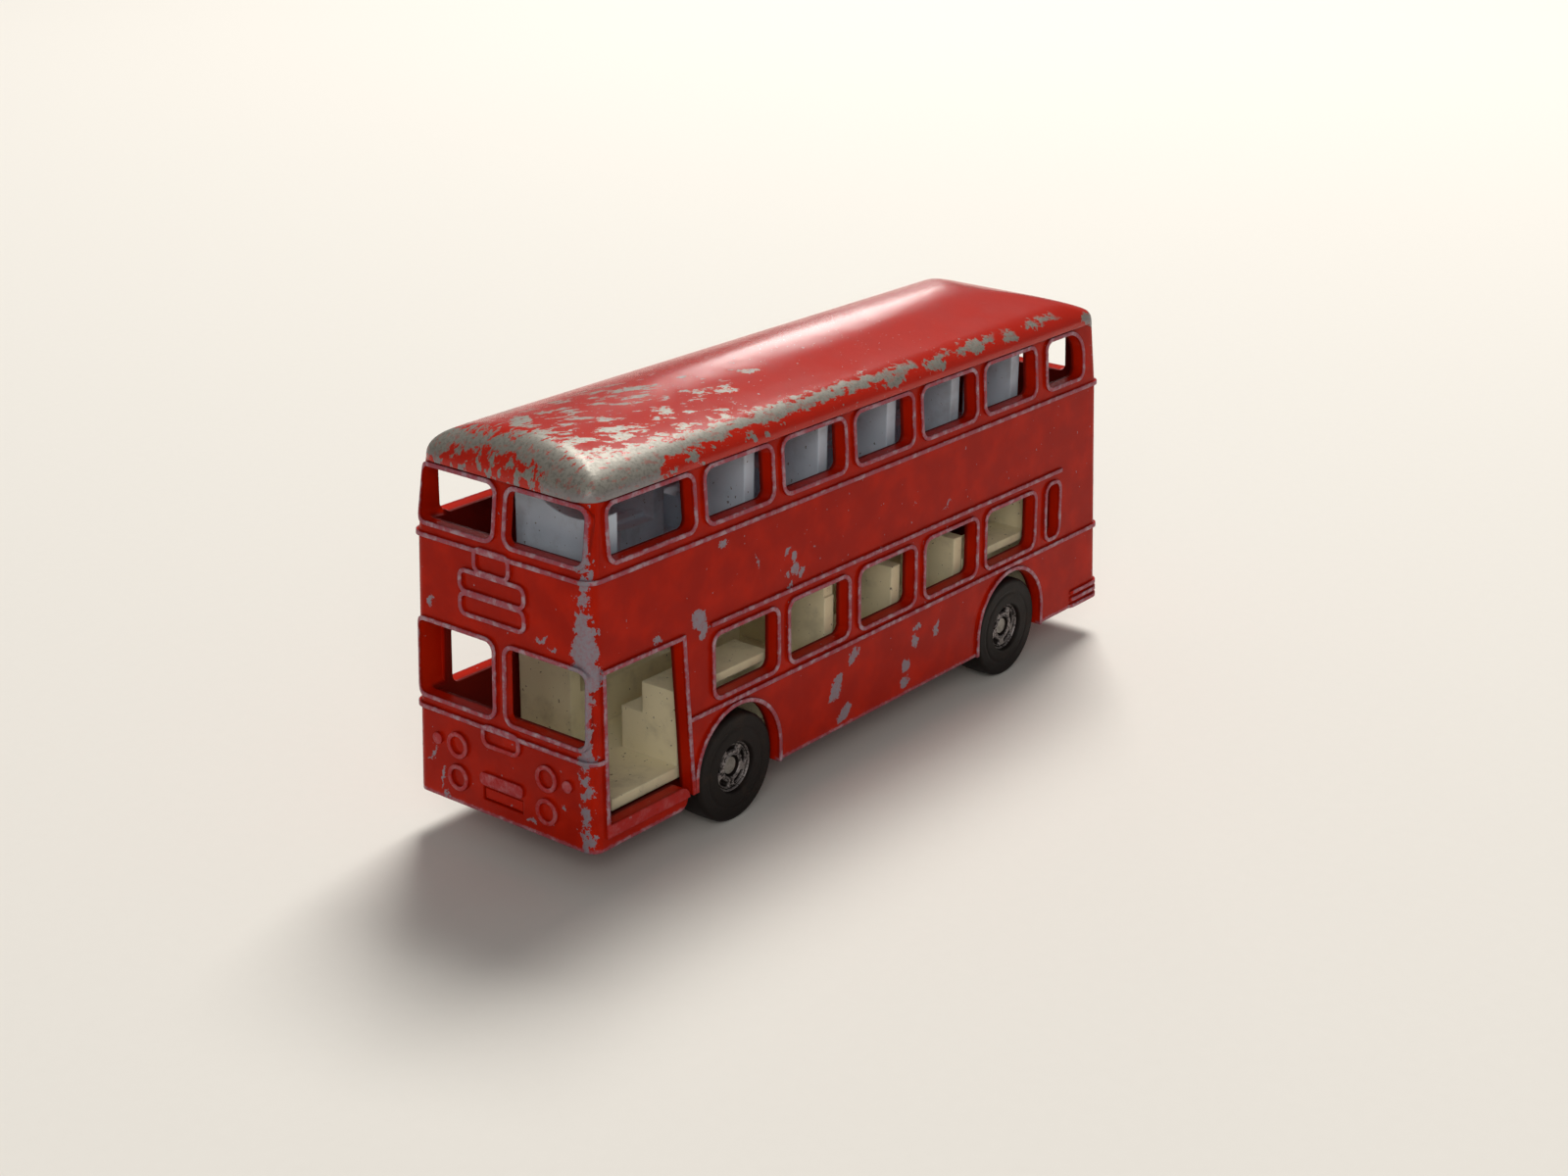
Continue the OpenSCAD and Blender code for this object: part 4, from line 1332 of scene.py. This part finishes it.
@dataclass
class Studio:
    """The floor, the lights, the sky and the camera."""

    eye: Point = (0.16148, 0.12595, 0.09140)
    turn_deg: Point = (69.00112, -0.62640, 128.39714)
    lens: float = 54.918
    sensor: float = 36.0
    clip_start: float = 0.005
    floor_half: float = 1.6
    floor_steps: int = 9
    sky: Colour = linear(236, 236, 238)
    sky_strength: float = 0.22
    lamps: tuple[Lamp, ...] = (
        Lamp("key", (-0.62, -0.30, 1.05), (0.0, 0.0, 0.03), 0.5, 16.0, (1.0, 0.98, 0.95)),
        Lamp("rim", (-0.80, -0.63, 0.24), (0.0, 0.0, 0.03), 0.12, 0.32, (1.0, 0.98, 0.95)),
        Lamp("fill", (0.9, 0.75, 0.65), (0.0, 0.0, 0.02), 0.7, 4.2, (1.0, 0.98, 0.95)),
    )

    def build(self) -> bpy.types.Object:
        """Set the stage.

        Returns:
            The floor.
        """
        steps = np.linspace(-self.floor_half, self.floor_half, self.floor_steps)
        x, y = np.meshgrid(steps, steps, indexing="ij")
        index = np.arange(x.size).reshape(x.shape)
        points = np.stack([x, y, np.zeros_like(x)], axis=-1).reshape(-1, 3)
        floor = make_object("floor", points, sheet_faces(index))
        floor.data.materials.append(PaleFloor().build())
        lights = [lamp.build() for lamp in self.lamps]
        world = bpy.data.worlds.new("studio_sky")
        world.use_nodes = True
        ground = world.node_tree.nodes["Background"]
        ground.inputs[0].default_value = (*self.sky, 1.0)
        ground.inputs[1].default_value = self.sky_strength
        scene = bpy.context.scene
        scene.world = world
        scene.view_settings.view_transform = "Standard"
        data = bpy.data.cameras.new("photo_camera")
        data.lens = self.lens
        data.sensor_width = self.sensor
        data.clip_start = self.clip_start
        camera = bpy.data.objects.new("photo_camera", data)
        camera.location = self.eye
        camera.rotation_euler = tuple(radians(angle) for angle in self.turn_deg)
        scene.collection.objects.link(camera)
        scene.camera = camera
        return floor


def main() -> None:
    """Build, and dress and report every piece."""
    logging.basicConfig(level=logging.INFO)
    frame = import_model()
    paint = RedPaint().walls()
    cream = CreamPlastic().build()
    steel = AxleSteel().build()
    black = WheelPlastic().build()
    carried = (
        (Shell("body_shell", "chassis", Slot.PAINT), paint),
        (CadPiece("base_plate", "chassis", Slot.PAINT), paint),
        (CadPiece("lower_deck", "chassis", Slot.CREAM), cream),
        (CadPiece("upper_deck", "chassis", Slot.CREAM), cream),
        (CadPiece("front_axle", "chassis", Slot.STEEL), steel),
        (CadPiece("rear_axle", "chassis", Slot.STEEL), steel),
    )
    pieces = []
    for part, material in carried:
        pieces.append(part.build(frame))
        part.dress(pieces[-1], material)
    roof = Roof()
    pieces.append(roof.build())
    roof.dress(pieces[-1], RedPaint().roof())
    wheels = (
        Wheel("wheel_front_left", "wheel_fl", Side.LEFT, FRONT_AXLE_X),
        Wheel("wheel_front_right", "wheel_fr", Side.RIGHT, FRONT_AXLE_X),
        Wheel("wheel_rear_left", "wheel_rl", Side.LEFT, REAR_AXLE_X),
        Wheel("wheel_rear_right", "wheel_rr", Side.RIGHT, REAR_AXLE_X),
    )
    for wheel in wheels:
        pieces.append(wheel.build())
        wheel.dress(pieces[-1], black)
    for piece in pieces:
        LOG.info("%s: %d faces", piece.name, len(piece.data.polygons))
    Studio().build()


if __name__ == "__main__":
    main()
